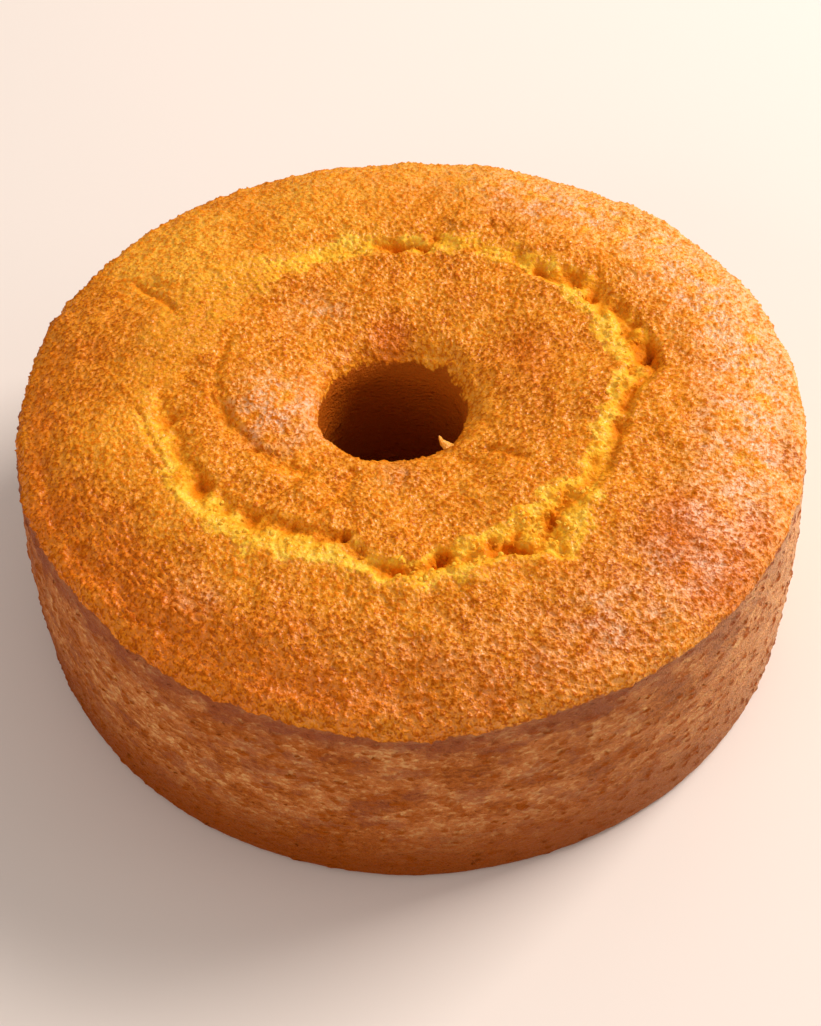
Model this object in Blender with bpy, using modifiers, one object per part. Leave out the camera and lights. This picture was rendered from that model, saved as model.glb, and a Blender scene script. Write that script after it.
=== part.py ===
"""Carrot cake baked in a ring pan: uncut, without icing, standing crust side up.

The cake is one solid. Its flat-topped ring is turned from a half section, and the
crust is then raised over it: a dome between rim and hole, the split that opens round
the top of the dome, wrinkles, pockets and lumps, an uneven rim and a hole that sits a
little off the middle. The origin is the middle of the underside, with +Z up.
"""

import math

import bmesh
import bpy
import numpy as np
from mathutils import Matrix, Vector

MM = 0.001

# Driving dimensions of the pan, in metres
TOP_RADIUS = 120 * MM
FOOT_FLARE = 1.2 * MM
WALL_BELLY = 1.6 * MM
BELLY_LEAN = 0.0
BELLY_LEAN_SIDE = math.radians(-25)
BASE_EDGE_ROUND = 2.4 * MM
HOLE_TOP_RADIUS = 21.8 * MM
HOLE_BASE_RADIUS = 24.8 * MM
HOLE_CENTRE = Vector((-5.6 * MM, -4.0 * MM))

# Driving dimensions of the crust, in metres
RIM_HEIGHT = 73.4 * MM
DOME_HEIGHT = 83.4 * MM
DOME_RADIUS = 72 * MM
LIP_HEIGHT = 77.4 * MM
RIM_ROUND = 4.0 * MM
LIP_ROUND_SHARP = 4.5 * MM
LIP_ROUND_SOFT = 12.5 * MM
LIP_SOFT_SIDE = math.radians(70)
RIM_FALL_POWER = 2.4
LIP_FALL_POWER = 2.2
HOLE_SHIFT_REACH = 66 * MM

# The turned ring, before the crust is raised
RING_HEIGHT = RIM_HEIGHT - RIM_ROUND
TURN_STEPS = 120
MERGE_DISTANCE = 0.00001

# Its circles of points, closest together where the crust has most relief. A run over the
# top has its first and last radius in millimetres and how many circles it counts.
DOME_TO_RIM_RUNS = ((72, 84, 5), (88.5, 116, 7))
HOLE_TO_DOME_RUNS = ((39, 57, 6), (60, 69, 4))
LIP_STEPS = (0.3, 1.2, 2.8, 5.2, 8.4, 12.4)
RIM_TURNS = (30, 60)
WALL_SHARES = (1, 0.85, 0.66, 0.46, 0.26, 0.12)
BASE_EDGE_TURNS = (0, 45, 90)
HOLE_SHARES = (0.2, 0.45, 0.7, 0.88, 1)

# The split round the dome. Each station has an angle in degrees, then in millimetres
# the radius of its deepest line, how far it opens inwards and outwards, and its depth.
SPLIT = (
    (0, 70.5, 8.0, 5.0, 2.4), (8, 74.5, 10.0, 4.5, 3.0), (16, 74.5, 9.5, 4.5, 2.6),
    (24, 72.5, 8.5, 5.0, 2.2), (33, 71.5, 8.0, 5.0, 2.6), (40, 71.0, 8.0, 5.0, 2.4),
    (49, 65.5, 6.0, 4.5, 2.2), (57, 65.5, 6.0, 5.0, 1.0), (68, 65.5, 4.0, 4.0, 0.8),
    (80, 64.0, 4.0, 4.0, 1.5), (88, 63.0, 3.5, 4.0, 2.2), (95, 63.5, 3.5, 4.0, 1.8),
    (103, 64.5, 4.0, 4.0, 1.0), (112, 66.0, 4.0, 4.0, 0.9), (122, 67.0, 4.0, 4.0, 0.2),
    (150, 70.0, 4.0, 4.0, 0.0), (172, 74.0, 4.0, 4.0, 0.1), (180, 74.0, 4.0, 5.0, 0.5),
    (186, 73.4, 3.5, 6.0, 1.6), (192, 72.3, 3.5, 6.0, 1.4), (199, 71.5, 3.5, 7.0, 1.2),
    (205, 71.2, 3.5, 8.0, 1.8), (213, 71.8, 4.0, 9.0, 2.6), (222, 70.6, 3.2, 9.0, 2.5),
    (230, 68.0, 3.6, 10.0, 2.3), (238, 66.8, 4.0, 10.0, 2.0), (246, 66.0, 4.0, 9.0, 1.8),
    (254, 67.0, 4.0, 7.0, 1.6), (262, 72.5, 4.5, 6.0, 1.7), (270, 72.0, 5.0, 6.0, 1.7),
    (277, 69.0, 5.0, 7.0, 2.4), (284, 70.0, 6.0, 6.0, 2.0), (291, 69.5, 6.0, 5.0, 2.6),
    (300, 71.5, 9.0, 7.0, 2.8), (309, 68.0, 9.0, 6.0, 2.2), (318, 65.5, 7.0, 5.0, 1.6),
    (328, 64.5, 6.0, 4.5, 1.6), (338, 65.0, 6.0, 4.5, 1.6), (347, 64.7, 6.0, 4.5, 1.9),
    (354, 65.5, 6.5, 5.0, 2.0),
)

# The fold between the collar and the hole, with stations as for the split
FOLD = (
    (150, 60.0, 5.0, 5.0, 0.0), (172, 59.5, 4.0, 5.0, 0.3), (183, 57.8, 3.5, 6.0, 1.3),
    (191, 55.6, 3.0, 7.0, 1.3), (199, 53.4, 3.0, 7.5, 1.8), (206, 51.2, 2.8, 7.5, 2.2),
    (212, 49.4, 2.8, 7.0, 1.8), (219, 47.6, 3.0, 6.5, 1.5), (227, 46.6, 3.5, 5.5, 1.1),
    (236, 46.0, 4.0, 5.0, 0.4), (250, 46.0, 4.0, 5.0, 0.0),
)

# The groove just inside the rim, with stations as for the split
EDGE_GROOVE = (
    (120, 112.5, 5.0, 3.5, 0.0), (180, 112.5, 5.0, 3.5, 0.2), (205, 112.0, 6.0, 4.0, 0.7),
    (235, 112.0, 6.0, 4.0, 0.7), (262, 113.0, 5.0, 3.5, 0.3), (300, 113.5, 5.0, 3.0, 0.0),
)

# Open pockets: angle in degrees, then radius, size and depth in millimetres
POCKETS = (
    (252.3, 63.5, 2.4, 5.2), (5, 75.0, 5.0, 1.4), (11, 75.5, 4.5, 1.2), (19.3, 75.0, 2.6, 1.2),
    (22, 77.0, 2.6, 1.2), (27, 72.0, 2.6, 1.2), (33.5, 69.5, 3.0, 1.4), (38, 77.0, 3.0, 1.5),
    (39.5, 70.5, 4.0, 1.9), (49.6, 65.3, 3.6, 1.7), (45, 66.0, 3.0, 1.0),
    (64.7, 75.5, 3.0, 1.2), (68.8, 76.6, 3.0, 1.4), (82, 67.5, 3.6, 1.3), (87, 62.8, 4.0, 1.2),
    (94, 62.5, 4.2, 1.2), (266, 73.0, 3.6, 1.5), (276.3, 68.6, 4.4, 1.9),
    (289.5, 66.5, 3.6, 1.6), (292.3, 70.0, 3.8, 1.7), (295.3, 73.6, 3.6, 1.5),
    (301.5, 79.0, 4.0, 1.5), (304.5, 68.5, 3.5, 1.1), (356, 64.5, 4.0, 1.2),
    (343, 62.5, 3.6, 1.0), (212.5, 70.5, 4.5, 1.0), (188, 70.5, 3.4, 1.0),
    (205, 51.5, 4.0, 0.8), (184, 58.0, 3.2, 0.8), (175, 69.5, 3.4, 0.9),
)

# Lumps of the crust: angle in degrees, then radius, size and height in millimetres
LUMPS = (
    (221, 57.0, 9.0, 1.3), (236, 54.0, 8.0, 1.1), (200, 63.0, 8.0, 0.9), (256, 51.0, 8.0, 0.9),
    (247, 58.0, 6.0, 0.7), (268, 81.0, 7.0, 1.2), (282, 79.0, 6.0, 1.3), (296, 80.0, 7.0, 1.2),
    (283, 64.0, 4.0, 1.2), (188, 43.0, 10.0, 1.0), (318, 62.0, 7.0, 0.8), (12, 88.0, 9.0, 0.9),
    (34, 87.0, 9.0, 0.8), (345, 80.0, 9.0, 0.7), (75, 75.0, 8.0, 0.7), (305, 45.0, 7.0, 0.9),
    (14, 71.0, 3.6, 1.4), (23, 67.0, 4.5, 0.9), (300, 74.0, 4.0, 1.0), (265, 72.0, 3.0, 0.7),
)

# Furrows across the crust: half width and depth in millimetres, then the points that
# the furrow follows, each with its angle in degrees and its radius in millimetres
FURROWS = (
    (2.4, 1.7, ((149.3, 101.5), (150.8, 94.5), (152, 88.5), (154.3, 82.0))),
    (1.5, 0.7, ((185, 83.0), (188, 81.2), (192, 81.0), (196, 79.4), (203, 78.6))),
    (2.0, 1.0, ((149, 96.0), (147.5, 91.0))),
    (2.6, 1.3, ((313, 34.0), (316, 39.0), (318, 45.0))),
    (2.4, 1.0, ((296, 31.0), (302, 35.0))),
    (2.6, 1.0, ((243, 38.0), (245, 48.0), (241, 58.0))),
    (2.6, 0.8, ((228, 44.0), (229, 54.0), (227, 63.0))),
    (2.4, 0.8, ((266, 34.0), (264, 44.0))),
    (2.4, 1.0, ((79, 70.0), (84, 68.0))),
    (2.4, 0.9, ((160, 59.0), (172, 60.0))),
)

# How the ring's own circles bend to follow the split: the radii between which they move
SPLIT_PULL_FROM = (30 * MM, 64 * MM)
SPLIT_PULL_TO = (80 * MM, 112 * MM)

# Swellings of the outer wall: angle and reach in degrees, then millimetres outwards
WALL_SWELLS = ((155, 16, 1.5), (28, 16, 0.7), (90, 22, -0.8), (268, 10, 0.6), (215, 12, -0.5))

# Swelling of the hole's edge, about the hole's own centre, in the same terms
HOLE_SWELLS = ((203, 26, 1.3),)

# Rises of the rim: angle and reach in degrees, then millimetres upwards
RIM_RISES = (
    (268, 10, -2.2), (221, 14, 1.8), (287, 8, 1.2), (323, 10, 1.5), (90, 30, -1.4), (150, 16, 0.9),
)

# Long waves all over the crust
WAVE_SEED = 24
WAVE_COUNT = 14
WAVE_HEIGHT = 0.22 * MM
WAVE_SHORTEST = 24 * MM
WAVE_LONGEST = 80 * MM

# A curl of crust that stands on the near edge of the hole and leans over it
FLAKE_ANGLE = math.radians(-41)
FLAKE_FROM_EDGE = 1.7 * MM
FLAKE_LENGTH = 6.0 * MM
FLAKE_FOOT_RADIUS = 2.2 * MM
FLAKE_TIP_RADIUS = 0.45 * MM
FLAKE_LEAN = math.radians(46)
FLAKE_TURN = math.radians(156)
FLAKE_SUNK = 1.6 * MM
FLAKE_SIDES = 7

CRUST_COLOUR = (0.60, 0.24, 0.045, 1.0)
CRUST_ROUGHNESS = 0.85


def smoothstep(low, high, value):
    """0 below low, 1 above high, and an even S between them."""
    t = np.clip((value - low) / (high - low), 0, 1)
    return t * t * (3 - 2 * t)


def turned_angle(a, b):
    """The smaller angle from b to a, in degrees, with its sign."""
    return (a - b + 180) % 360 - 180


def round_the_ring(stations, degrees):
    """The stations' values at each angle, joined by one closed smooth curve."""
    table = np.array(stations, float)
    angles, values = table[:, 0], table[:, 1:]
    count = len(angles)
    after = np.searchsorted(angles, degrees, side="right") % count
    before = (after - 1) % count
    gap = (angles[after] - angles[before]) % 360
    t = (((degrees - angles[before]) % 360) / gap)[:, None]
    low, high = values[before], values[after]
    low_turn = (high - values[before - 1]) / 2
    high_turn = (values[(after + 1) % count] - low) / 2
    curve = (
        low * (1 + 2 * t) * (1 - t) ** 2
        + low_turn * t * (1 - t) ** 2
        + high * t * t * (3 - 2 * t)
        + high_turn * t * t * (t - 1)
    )
    return curve.T


def groove_depth(stations, degrees, radius):
    """Depth of a groove that runs round the ring, steeper on its narrower side."""
    line, inward, outward, depth = round_the_ring(stations, degrees) * MM
    across = radius - line
    inner_side = smoothstep(-np.maximum(inward, MM), 0, across)
    outer_side = 1 - smoothstep(0, np.maximum(outward, MM), across)
    return np.maximum(depth, 0) * np.minimum(inner_side, outer_side)


def polar(degrees, radius):
    """The place on the cake at an angle and a radius in millimetres, in metres."""
    angle = math.radians(degrees)
    return np.array((math.cos(angle), math.sin(angle))) * radius * MM


def bumps(spots, x, y):
    """Rounded bumps, each with an angle, a radius, a size and a height."""
    height = np.zeros_like(x)
    for degrees, radius, size, rise in spots:
        px, py = polar(degrees, radius)
        away = np.hypot(x - px, y - py) / (size * MM)
        height += rise * MM * (1 - smoothstep(0, 1, away))
    return height


def furrow_depth(x, y):
    """Depth of the furrows, each of which follows a few straight runs."""
    depth = np.zeros_like(x)
    for half_width, deep, route in FURROWS:
        places = [polar(*point) for point in route]
        away = np.full_like(x, np.inf)
        for start, end in zip(places, places[1:]):
            run = end - start
            t = np.clip(((x - start[0]) * run[0] + (y - start[1]) * run[1]) / (run @ run), 0, 1)
            away = np.minimum(away, np.hypot(x - start[0] - t * run[0], y - start[1] - t * run[1]))
        depth = np.maximum(depth, deep * MM * (1 - smoothstep(0, half_width * MM, away)))
    return depth


def swell(places, degrees):
    """Sum of rounded swellings round the ring, each with an angle, a reach and a size."""
    total = np.zeros_like(degrees)
    for angle, reach, size in places:
        total += size * MM * np.exp(-((turned_angle(degrees, angle) / reach) ** 2))
    return total


def waves(x, y):
    """Long shallow waves in many directions, the same on every run."""
    draw = np.random.default_rng(WAVE_SEED)
    height = np.zeros_like(x)
    for _ in range(WAVE_COUNT):
        length = draw.uniform(WAVE_SHORTEST, WAVE_LONGEST)
        heading, phase = draw.uniform(0, 2 * math.pi, 2)
        along = x * math.cos(heading) + y * math.sin(heading)
        height += WAVE_HEIGHT * np.sin(2 * math.pi * along / length + phase)
    return height


def quarter_round(inset, size):
    """How far an edge rounded to a quarter circle falls, at a distance inside the edge."""
    e = np.clip(1 - inset / size, 0, 1)
    return size * (1 - np.sqrt(1 - e * e))


def lip_round(x, y):
    """Radius of the hole's rounded lip, sharp at the near left and soft at the far right."""
    angle = np.arctan2(y - HOLE_CENTRE.y, x - HOLE_CENTRE.x)
    softness = (0.5 + 0.5 * np.cos(angle - LIP_SOFT_SIDE)) ** 1.5
    return LIP_ROUND_SHARP + (LIP_ROUND_SOFT - LIP_ROUND_SHARP) * softness


def crust_height(x, y):
    """Height of the crust above the underside."""
    radius = np.hypot(x, y)
    degrees = np.degrees(np.arctan2(y, x)) % 360
    edge = TOP_RADIUS + swell(WALL_SWELLS, degrees)
    out = np.clip((radius - DOME_RADIUS) / (TOP_RADIUS - DOME_RADIUS), 0, 1)
    inwards = np.clip((DOME_RADIUS - radius) / (DOME_RADIUS - HOLE_TOP_RADIUS), 0, 1)
    height = DOME_HEIGHT - (DOME_HEIGHT - RIM_HEIGHT) * out**RIM_FALL_POWER
    height -= (DOME_HEIGHT - LIP_HEIGHT) * inwards**LIP_FALL_POWER
    height += swell(RIM_RISES, degrees) * out**2 + waves(x, y)
    height += bumps(LUMPS, x, y) - bumps(POCKETS, x, y) - furrow_depth(x, y)
    height -= groove_depth(SPLIT, degrees, radius)
    height -= groove_depth(FOLD, degrees, radius)
    height -= groove_depth(EDGE_GROOVE, degrees, radius)
    height -= quarter_round(edge - radius, RIM_ROUND)
    from_x, from_y = x - HOLE_CENTRE.x, y - HOLE_CENTRE.y
    lip = HOLE_TOP_RADIUS + swell(HOLE_SWELLS, np.degrees(np.arctan2(from_y, from_x)) % 360)
    return height - quarter_round(np.hypot(from_x, from_y) - lip, lip_round(x, y))


def wall_reach(height, angle):
    """How far the outer wall stands out beyond the rim: it bellies and its foot flares."""
    up = height / RING_HEIGHT
    belly = WALL_BELLY * (1 + BELLY_LEAN * np.cos(angle - BELLY_LEAN_SIDE))
    return FOOT_FLARE * (1 - up) + belly * np.sin(math.pi * up)


def circles(runs):
    """The radii of the circles in each run, in metres."""
    return np.concatenate([np.linspace(*run) for run in runs]) * MM


def half_section():
    """The ring's closed half section at +X: out over the top, down the wall, in
    underneath, up the hole and back out to the dome."""
    rim = TOP_RADIUS - RIM_ROUND * (1 - np.sin(np.radians(RIM_TURNS)))
    section = [(radius, RING_HEIGHT) for radius in (*circles(DOME_TO_RIM_RUNS), *rim)]
    section += [(TOP_RADIUS, RING_HEIGHT * share) for share in WALL_SHARES]
    for angle in np.radians(BASE_EDGE_TURNS):
        inset = BASE_EDGE_ROUND * (1 - math.cos(angle))
        section.append((TOP_RADIUS - inset, BASE_EDGE_ROUND * (1 - math.sin(angle))))
    section += [(HOLE_TOP_RADIUS + BASE_EDGE_ROUND, 0), (HOLE_TOP_RADIUS, BASE_EDGE_ROUND)]
    section += [(HOLE_TOP_RADIUS, RING_HEIGHT * share) for share in HOLE_SHARES]
    section += [(HOLE_TOP_RADIUS + step * MM, RING_HEIGHT) for step in LIP_STEPS]
    section += [(radius, RING_HEIGHT) for radius in circles(HOLE_TO_DOME_RUNS)]
    return section


def turned_ring(name):
    """The flat-topped ring as a mesh, turned from its half section."""
    section = half_section()
    outline = bpy.data.meshes.new(name)
    corners = [(radius, 0, height) for radius, height in section]
    edges = [(i, (i + 1) % len(section)) for i in range(len(section))]
    outline.from_pydata(corners, edges, [])
    turned = bpy.data.objects.new(name + "_section", outline)
    bpy.context.scene.collection.objects.link(turned)
    screw = turned.modifiers.new("turn", "SCREW")
    screw.steps = screw.render_steps = TURN_STEPS
    screw.use_merge_vertices = True
    screw.merge_threshold = MERGE_DISTANCE
    evaluated = turned.evaluated_get(bpy.context.evaluated_depsgraph_get())
    ring = bpy.data.meshes.new_from_object(evaluated)
    bpy.data.objects.remove(turned)
    bpy.data.meshes.remove(outline)
    ring.name = name
    return ring


def raise_crust(ring):
    """Moves the ring's points out to the real wall, hole and crust."""
    flat = np.empty(len(ring.vertices) * 3)
    ring.vertices.foreach_get("co", flat)
    x, y, z = flat.reshape(-1, 3).T.copy()
    radius = np.hypot(x, y)
    angle = np.arctan2(y, x)
    cosine, sine = np.cos(angle), np.sin(angle)
    degrees = np.degrees(angle) % 360
    share = z / RING_HEIGHT
    outside = smoothstep(DOME_RADIUS, TOP_RADIUS, radius)
    inside = 1 - smoothstep(HOLE_TOP_RADIUS, HOLE_SHIFT_REACH, radius)
    pull = smoothstep(*SPLIT_PULL_FROM, radius) * (1 - smoothstep(*SPLIT_PULL_TO, radius))
    line = round_the_ring(SPLIT, degrees)[0] * MM
    radius += pull * (line - DOME_RADIUS)
    radius += outside * swell(WALL_SWELLS, degrees) + inside * swell(HOLE_SWELLS, degrees)
    top_x = radius * cosine + inside * HOLE_CENTRE.x
    top_y = radius * sine + inside * HOLE_CENTRE.y
    reach = outside * wall_reach(z, angle)
    reach += inside * (HOLE_BASE_RADIUS - HOLE_TOP_RADIUS) * (1 - share)
    height = share * crust_height(top_x, top_y)
    moved = np.column_stack((top_x + cosine * reach, top_y + sine * reach, height))
    ring.vertices.foreach_set("co", moved.ravel())
    ring.update()


def flake_cone(name):
    """The curl of crust: a blunt leaning cone whose foot is sunk in the hole's lip."""
    reach = HOLE_TOP_RADIUS + FLAKE_FROM_EDGE
    foot_x = np.array([HOLE_CENTRE.x + math.cos(FLAKE_ANGLE) * reach])
    foot_y = np.array([HOLE_CENTRE.y + math.sin(FLAKE_ANGLE) * reach])
    foot = Vector((foot_x[0], foot_y[0], crust_height(foot_x, foot_y)[0] - FLAKE_SUNK))
    lean = Matrix.Rotation(FLAKE_TURN, 4, "Z") @ Matrix.Rotation(FLAKE_LEAN, 4, "Y")
    rise = Matrix.Translation((0, 0, FLAKE_LENGTH / 2))
    mesh = bpy.data.meshes.new(name)
    shape = bmesh.new()
    bmesh.ops.create_cone(
        shape, cap_ends=True, cap_tris=True, segments=FLAKE_SIDES,
        radius1=FLAKE_FOOT_RADIUS, radius2=FLAKE_TIP_RADIUS, depth=FLAKE_LENGTH,
        matrix=Matrix.Translation(foot) @ lean @ rise,
    )
    shape.to_mesh(mesh)
    shape.free()
    return bpy.data.objects.new(name, mesh)


def fuse(body, piece):
    """Joins a piece to the body and removes it."""
    join = body.modifiers.new("fuse", "BOOLEAN")
    join.operation = "UNION"
    join.solver = "EXACT"
    join.object = piece
    evaluated = body.evaluated_get(bpy.context.evaluated_depsgraph_get())
    joined = bpy.data.meshes.new_from_object(evaluated)
    body.modifiers.remove(join)
    old = body.data
    body.data = joined
    joined.name = body.name
    bpy.data.meshes.remove(old)
    bpy.data.objects.remove(piece)


def crust_material():
    """Golden brown baked crust, dull and dry."""
    material = bpy.data.materials.new("baked_crust")
    material.use_nodes = True
    shader = material.node_tree.nodes["Principled BSDF"]
    shader.inputs["Base Color"].default_value = CRUST_COLOUR
    shader.inputs["Roughness"].default_value = CRUST_ROUGHNESS
    shader.inputs["Metallic"].default_value = 0.0
    return material


def clear_scene():
    """Removes whatever the scene holds."""
    for thing in list(bpy.data.objects):
        bpy.data.objects.remove(thing)


def build_cake():
    """The whole cake as one closed solid."""
    collection = bpy.data.collections.new("carrot_cake")
    bpy.context.scene.collection.children.link(collection)
    ring = turned_ring("cake")
    raise_crust(ring)
    cake = bpy.data.objects.new("cake", ring)
    collection.objects.link(cake)
    flake = flake_cone("flake")
    collection.objects.link(flake)
    fuse(cake, flake)
    cake.data.materials.clear()
    cake.data.materials.append(crust_material())
    cake.data.shade_smooth()
    return cake


def main():
    clear_scene()
    build_cake()


main()
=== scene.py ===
"""The looks of a whole ring-shaped carrot cake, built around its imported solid.

The crust is worked out once as rows of points that run from the foot of the hole, up
and over the dome and down to the underside. Each piece takes some of the rows, shares
its first and last row with its neighbours, and gets its grain, pores, torn crumb and
pits from one Geometry Nodes tree, which the shaders follow point for point.
"""

import math

import bpy
import numpy as np
from mathutils import Matrix, Vector, noise


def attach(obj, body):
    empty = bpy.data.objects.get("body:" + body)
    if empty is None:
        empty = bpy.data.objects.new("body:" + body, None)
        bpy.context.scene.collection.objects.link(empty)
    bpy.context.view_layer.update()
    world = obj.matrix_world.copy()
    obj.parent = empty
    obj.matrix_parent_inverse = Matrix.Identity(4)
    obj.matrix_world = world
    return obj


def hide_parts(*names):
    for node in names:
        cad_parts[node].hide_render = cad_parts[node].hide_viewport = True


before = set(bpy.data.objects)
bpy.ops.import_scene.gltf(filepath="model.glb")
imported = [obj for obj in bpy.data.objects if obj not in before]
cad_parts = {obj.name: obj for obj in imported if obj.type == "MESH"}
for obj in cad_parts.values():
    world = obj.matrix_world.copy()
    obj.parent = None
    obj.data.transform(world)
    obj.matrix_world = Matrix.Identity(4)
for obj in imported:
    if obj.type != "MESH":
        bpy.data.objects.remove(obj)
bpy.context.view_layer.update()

bl_info = {
    "name": "Ring cake looks",
    "version": (1, 0, 0),
    "blender": (4, 5, 0),
    "location": "3D View > Sidebar > Cake",
    "description": "Crust, torn crumb, pan-baked side and stage of a whole ring cake",
    "category": "Add Mesh",
}

MM = 0.001
BODY = "root"
NODE = "cake"


# ------ form of the cake

# The pan's shape: a flared and bellied side, a rounded edge at the base, and a hole that
# widens towards the base. The hole lies off the middle, and so does the crust round it,
# less and less out to a radius.
FOOT_FLARE = 1.2 * MM
WALL_BELLY = 1.6 * MM
BASE_EDGE_ROUND = 2.4 * MM
HOLE_TAPER = 3.0 * MM
HOLE_CENTRE = Vector((-5.6 * MM, -4.0 * MM))
HOLE_SHIFT_REACH = 66 * MM

# The dome: the radius of its highest ring, how it falls to the rim and to the hole, and
# the rounding of the rim and of the hole's lip, which is softest on one side
DOME_RADIUS = 72 * MM
RIM_FALL_POWER = 2.4
LIP_FALL_POWER = 2.2
RIM_ROUND = 3.2 * MM
LIP_ROUND_SHARP = 4.5 * MM
LIP_ROUND_SOFT = 12.5 * MM
LIP_SOFT_SIDE = math.radians(70)
LIP_SOFT_POWER = 1.5

# The split round the dome. Each station has an angle in degrees, then in millimetres
# the radius of its deepest line, how far it opens inwards and outwards, and its depth.
SPLIT = (
    (0, 70.5, 8, 5, 2.4), (8, 74.5, 10, 4.5, 3), (16, 74.5, 9.5, 4.5, 2.6),
    (24, 72.5, 8.5, 5, 2.2), (33, 71.5, 8, 5, 2.6), (40, 71, 8, 5, 2.4),
    (49, 65.5, 6, 4.5, 2.2), (57, 65.5, 6, 5, 1), (68, 65.5, 4, 4, 0.8), (80, 64, 4, 4, 1.5),
    (88, 63, 3.5, 4, 2.2), (95, 63.5, 3.5, 4, 1.8), (103, 64.5, 4, 4, 1), (112, 66, 4, 4, 0.9),
    (122, 67, 4, 4, 0.2), (150, 70, 4, 4, 0), (172, 74, 4, 4, 0.1), (180, 74, 4, 5, 0.5),
    (186, 73.4, 3.5, 6, 1.6), (192, 72.3, 3.5, 6, 1.4), (199, 71.5, 3.5, 7, 1.2),
    (205, 71.2, 3.5, 8, 1.8), (213, 71.8, 4, 9, 2.6), (222, 70.6, 3.2, 9, 2.5),
    (230, 68, 3.6, 10, 2.3), (238, 66.8, 4, 10, 2), (246, 66, 4, 9, 1.8), (254, 67, 4, 7, 1.6),
    (262, 72.5, 4.5, 6, 1.7), (270, 72, 5, 6, 1.7), (277, 69, 5, 7, 2.4), (284, 70, 6, 6, 2),
    (291, 69.5, 6, 5, 2.6), (300, 71.5, 9, 7, 2.8), (309, 68, 9, 6, 2.2),
    (318, 65.5, 7, 5, 1.6), (328, 64.5, 6, 4.5, 1.6), (338, 65, 6, 4.5, 1.6),
    (347, 64.7, 6, 4.5, 1.9), (354, 65.5, 6.5, 5, 2),
)

# The fold between the collar and the hole, with stations as for the split
FOLD = (
    (150, 60, 5, 5, 0), (172, 59.5, 4, 5, 0.3), (183, 57.8, 3.5, 6, 1.3),
    (191, 55.6, 3, 7, 1.3), (199, 53.4, 3, 7.5, 1.8), (206, 51.2, 2.8, 7.5, 2.2),
    (212, 49.4, 2.8, 7, 1.8), (219, 47.6, 3, 6.5, 1.5), (227, 46.6, 3.5, 5.5, 1.1),
    (236, 46, 4, 5, 0.4), (250, 46, 4, 5, 0),
)

# The groove just inside the rim, with stations as for the split
EDGE_GROOVE = (
    (120, 112.5, 5, 3.5, 0), (180, 112.5, 5, 3.5, 0.2), (205, 112, 6, 4, 0.7),
    (235, 112, 6, 4, 0.7), (262, 113, 5, 3.5, 0.3), (300, 113.5, 5, 3, 0),
)

# How far the grooves' edges stray, what share of their depth comes and goes, and how
# much of the fine and of the broad field goes into the edges and into the depth
RAGGED_EDGE = 0.6 * MM
RAGGED_DEPTH = 0.4
RAGGED_MIX = ((0.6, 0.7), (0.7, -0.7))

# Open pockets: angle in degrees, then radius, size and depth in millimetres
POCKETS = (
    (252.3, 63.5, 2.4, 5.2), (5, 75, 5, 1.4), (11, 75.5, 4.5, 1.2), (19.3, 75, 2.6, 1.2),
    (22, 77, 2.6, 1.2), (27, 72, 2.6, 1.2), (33.5, 69.5, 3, 1.4), (38, 77, 3, 1.5),
    (39.5, 70.5, 4, 1.9), (49.6, 65.3, 3.6, 1.7), (45, 66, 3, 1), (64.7, 75.5, 3, 1.2),
    (68.8, 76.6, 3, 1.4), (82, 67.5, 3.6, 1.3), (87, 62.8, 4, 1.2), (94, 62.5, 4.2, 1.2),
    (266, 73, 3.6, 1.5), (276.3, 68.6, 4.4, 1.9), (289.5, 66.5, 3.6, 1.6),
    (292.3, 70, 3.8, 1.7), (295.3, 73.6, 3.6, 1.5), (301.5, 79, 4, 1.5),
    (304.5, 68.5, 3.5, 1.1), (356, 64.5, 4, 1.2), (343, 62.5, 3.6, 1), (212.5, 70.5, 4.5, 1),
    (188, 70.5, 3.4, 1), (205, 51.5, 4, 0.8), (184, 58, 3.2, 0.8), (175, 69.5, 3.4, 0.9),
)

# Lumps of the crust: angle in degrees, then radius, size and height in millimetres
LUMPS = (
    (221, 57, 9, 1.3), (236, 54, 8, 1.1), (200, 63, 8, 0.9), (256, 51, 8, 0.9),
    (247, 58, 6, 0.7), (268, 81, 7, 1.2), (282, 79, 6, 1.3), (296, 80, 7, 1.2),
    (283, 64, 4, 1.2), (188, 43, 10, 1), (318, 62, 7, 0.8), (12, 88, 9, 0.9), (34, 87, 9, 0.8),
    (345, 80, 9, 0.7), (75, 75, 8, 0.7), (305, 45, 7, 0.9), (14, 71, 3.6, 1),
    (23, 67, 4.5, 0.9), (300, 74, 4, 1), (265, 72, 3, 0.7),
)

# Furrows across the crust: half width and depth in millimetres, then the points that
# the furrow follows, each with its angle in degrees and its radius in millimetres
FURROWS = (
    (2.4, 1.7, ((149.3, 101.5), (150.8, 94.5), (152, 88.5), (154.3, 82))),
    (1.5, 0.7, ((185, 83), (188, 81.2), (192, 81), (196, 79.4), (203, 78.6))),
    (2, 1, ((149, 96), (147.5, 91))),
    (2.6, 1.3, ((313, 34), (316, 39), (318, 45))),
    (2.4, 1, ((296, 31), (302, 35))),
    (2.6, 1, ((243, 38), (245, 48), (241, 58))),
    (2.6, 0.8, ((228, 44), (229, 54), (227, 63))),
    (2.4, 0.8, ((266, 34), (264, 44))),
    (2.4, 1, ((79, 70), (84, 68))),
    (2.4, 0.9, ((160, 59), (172, 60))),
)

# Swellings of the outer wall: angle and reach in degrees, then millimetres outwards
WALL_SWELLS = ((155, 16, 1.5), (28, 16, 0.7), (90, 22, -0.8), (268, 10, 0.6), (215, 12, -0.5))

# Swelling of the hole's edge, about the hole's own centre, in the same terms
HOLE_SWELLS = ((203, 26, 1.3),)

# Rises of the rim: angle and reach in degrees, then millimetres upwards
RIM_RISES = (
    (268, 10, -2.2), (221, 14, 1.8), (287, 8, 1.2), (323, 10, 1.5), (90, 30, -1.4),
    (150, 16, 0.9),
)

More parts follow.
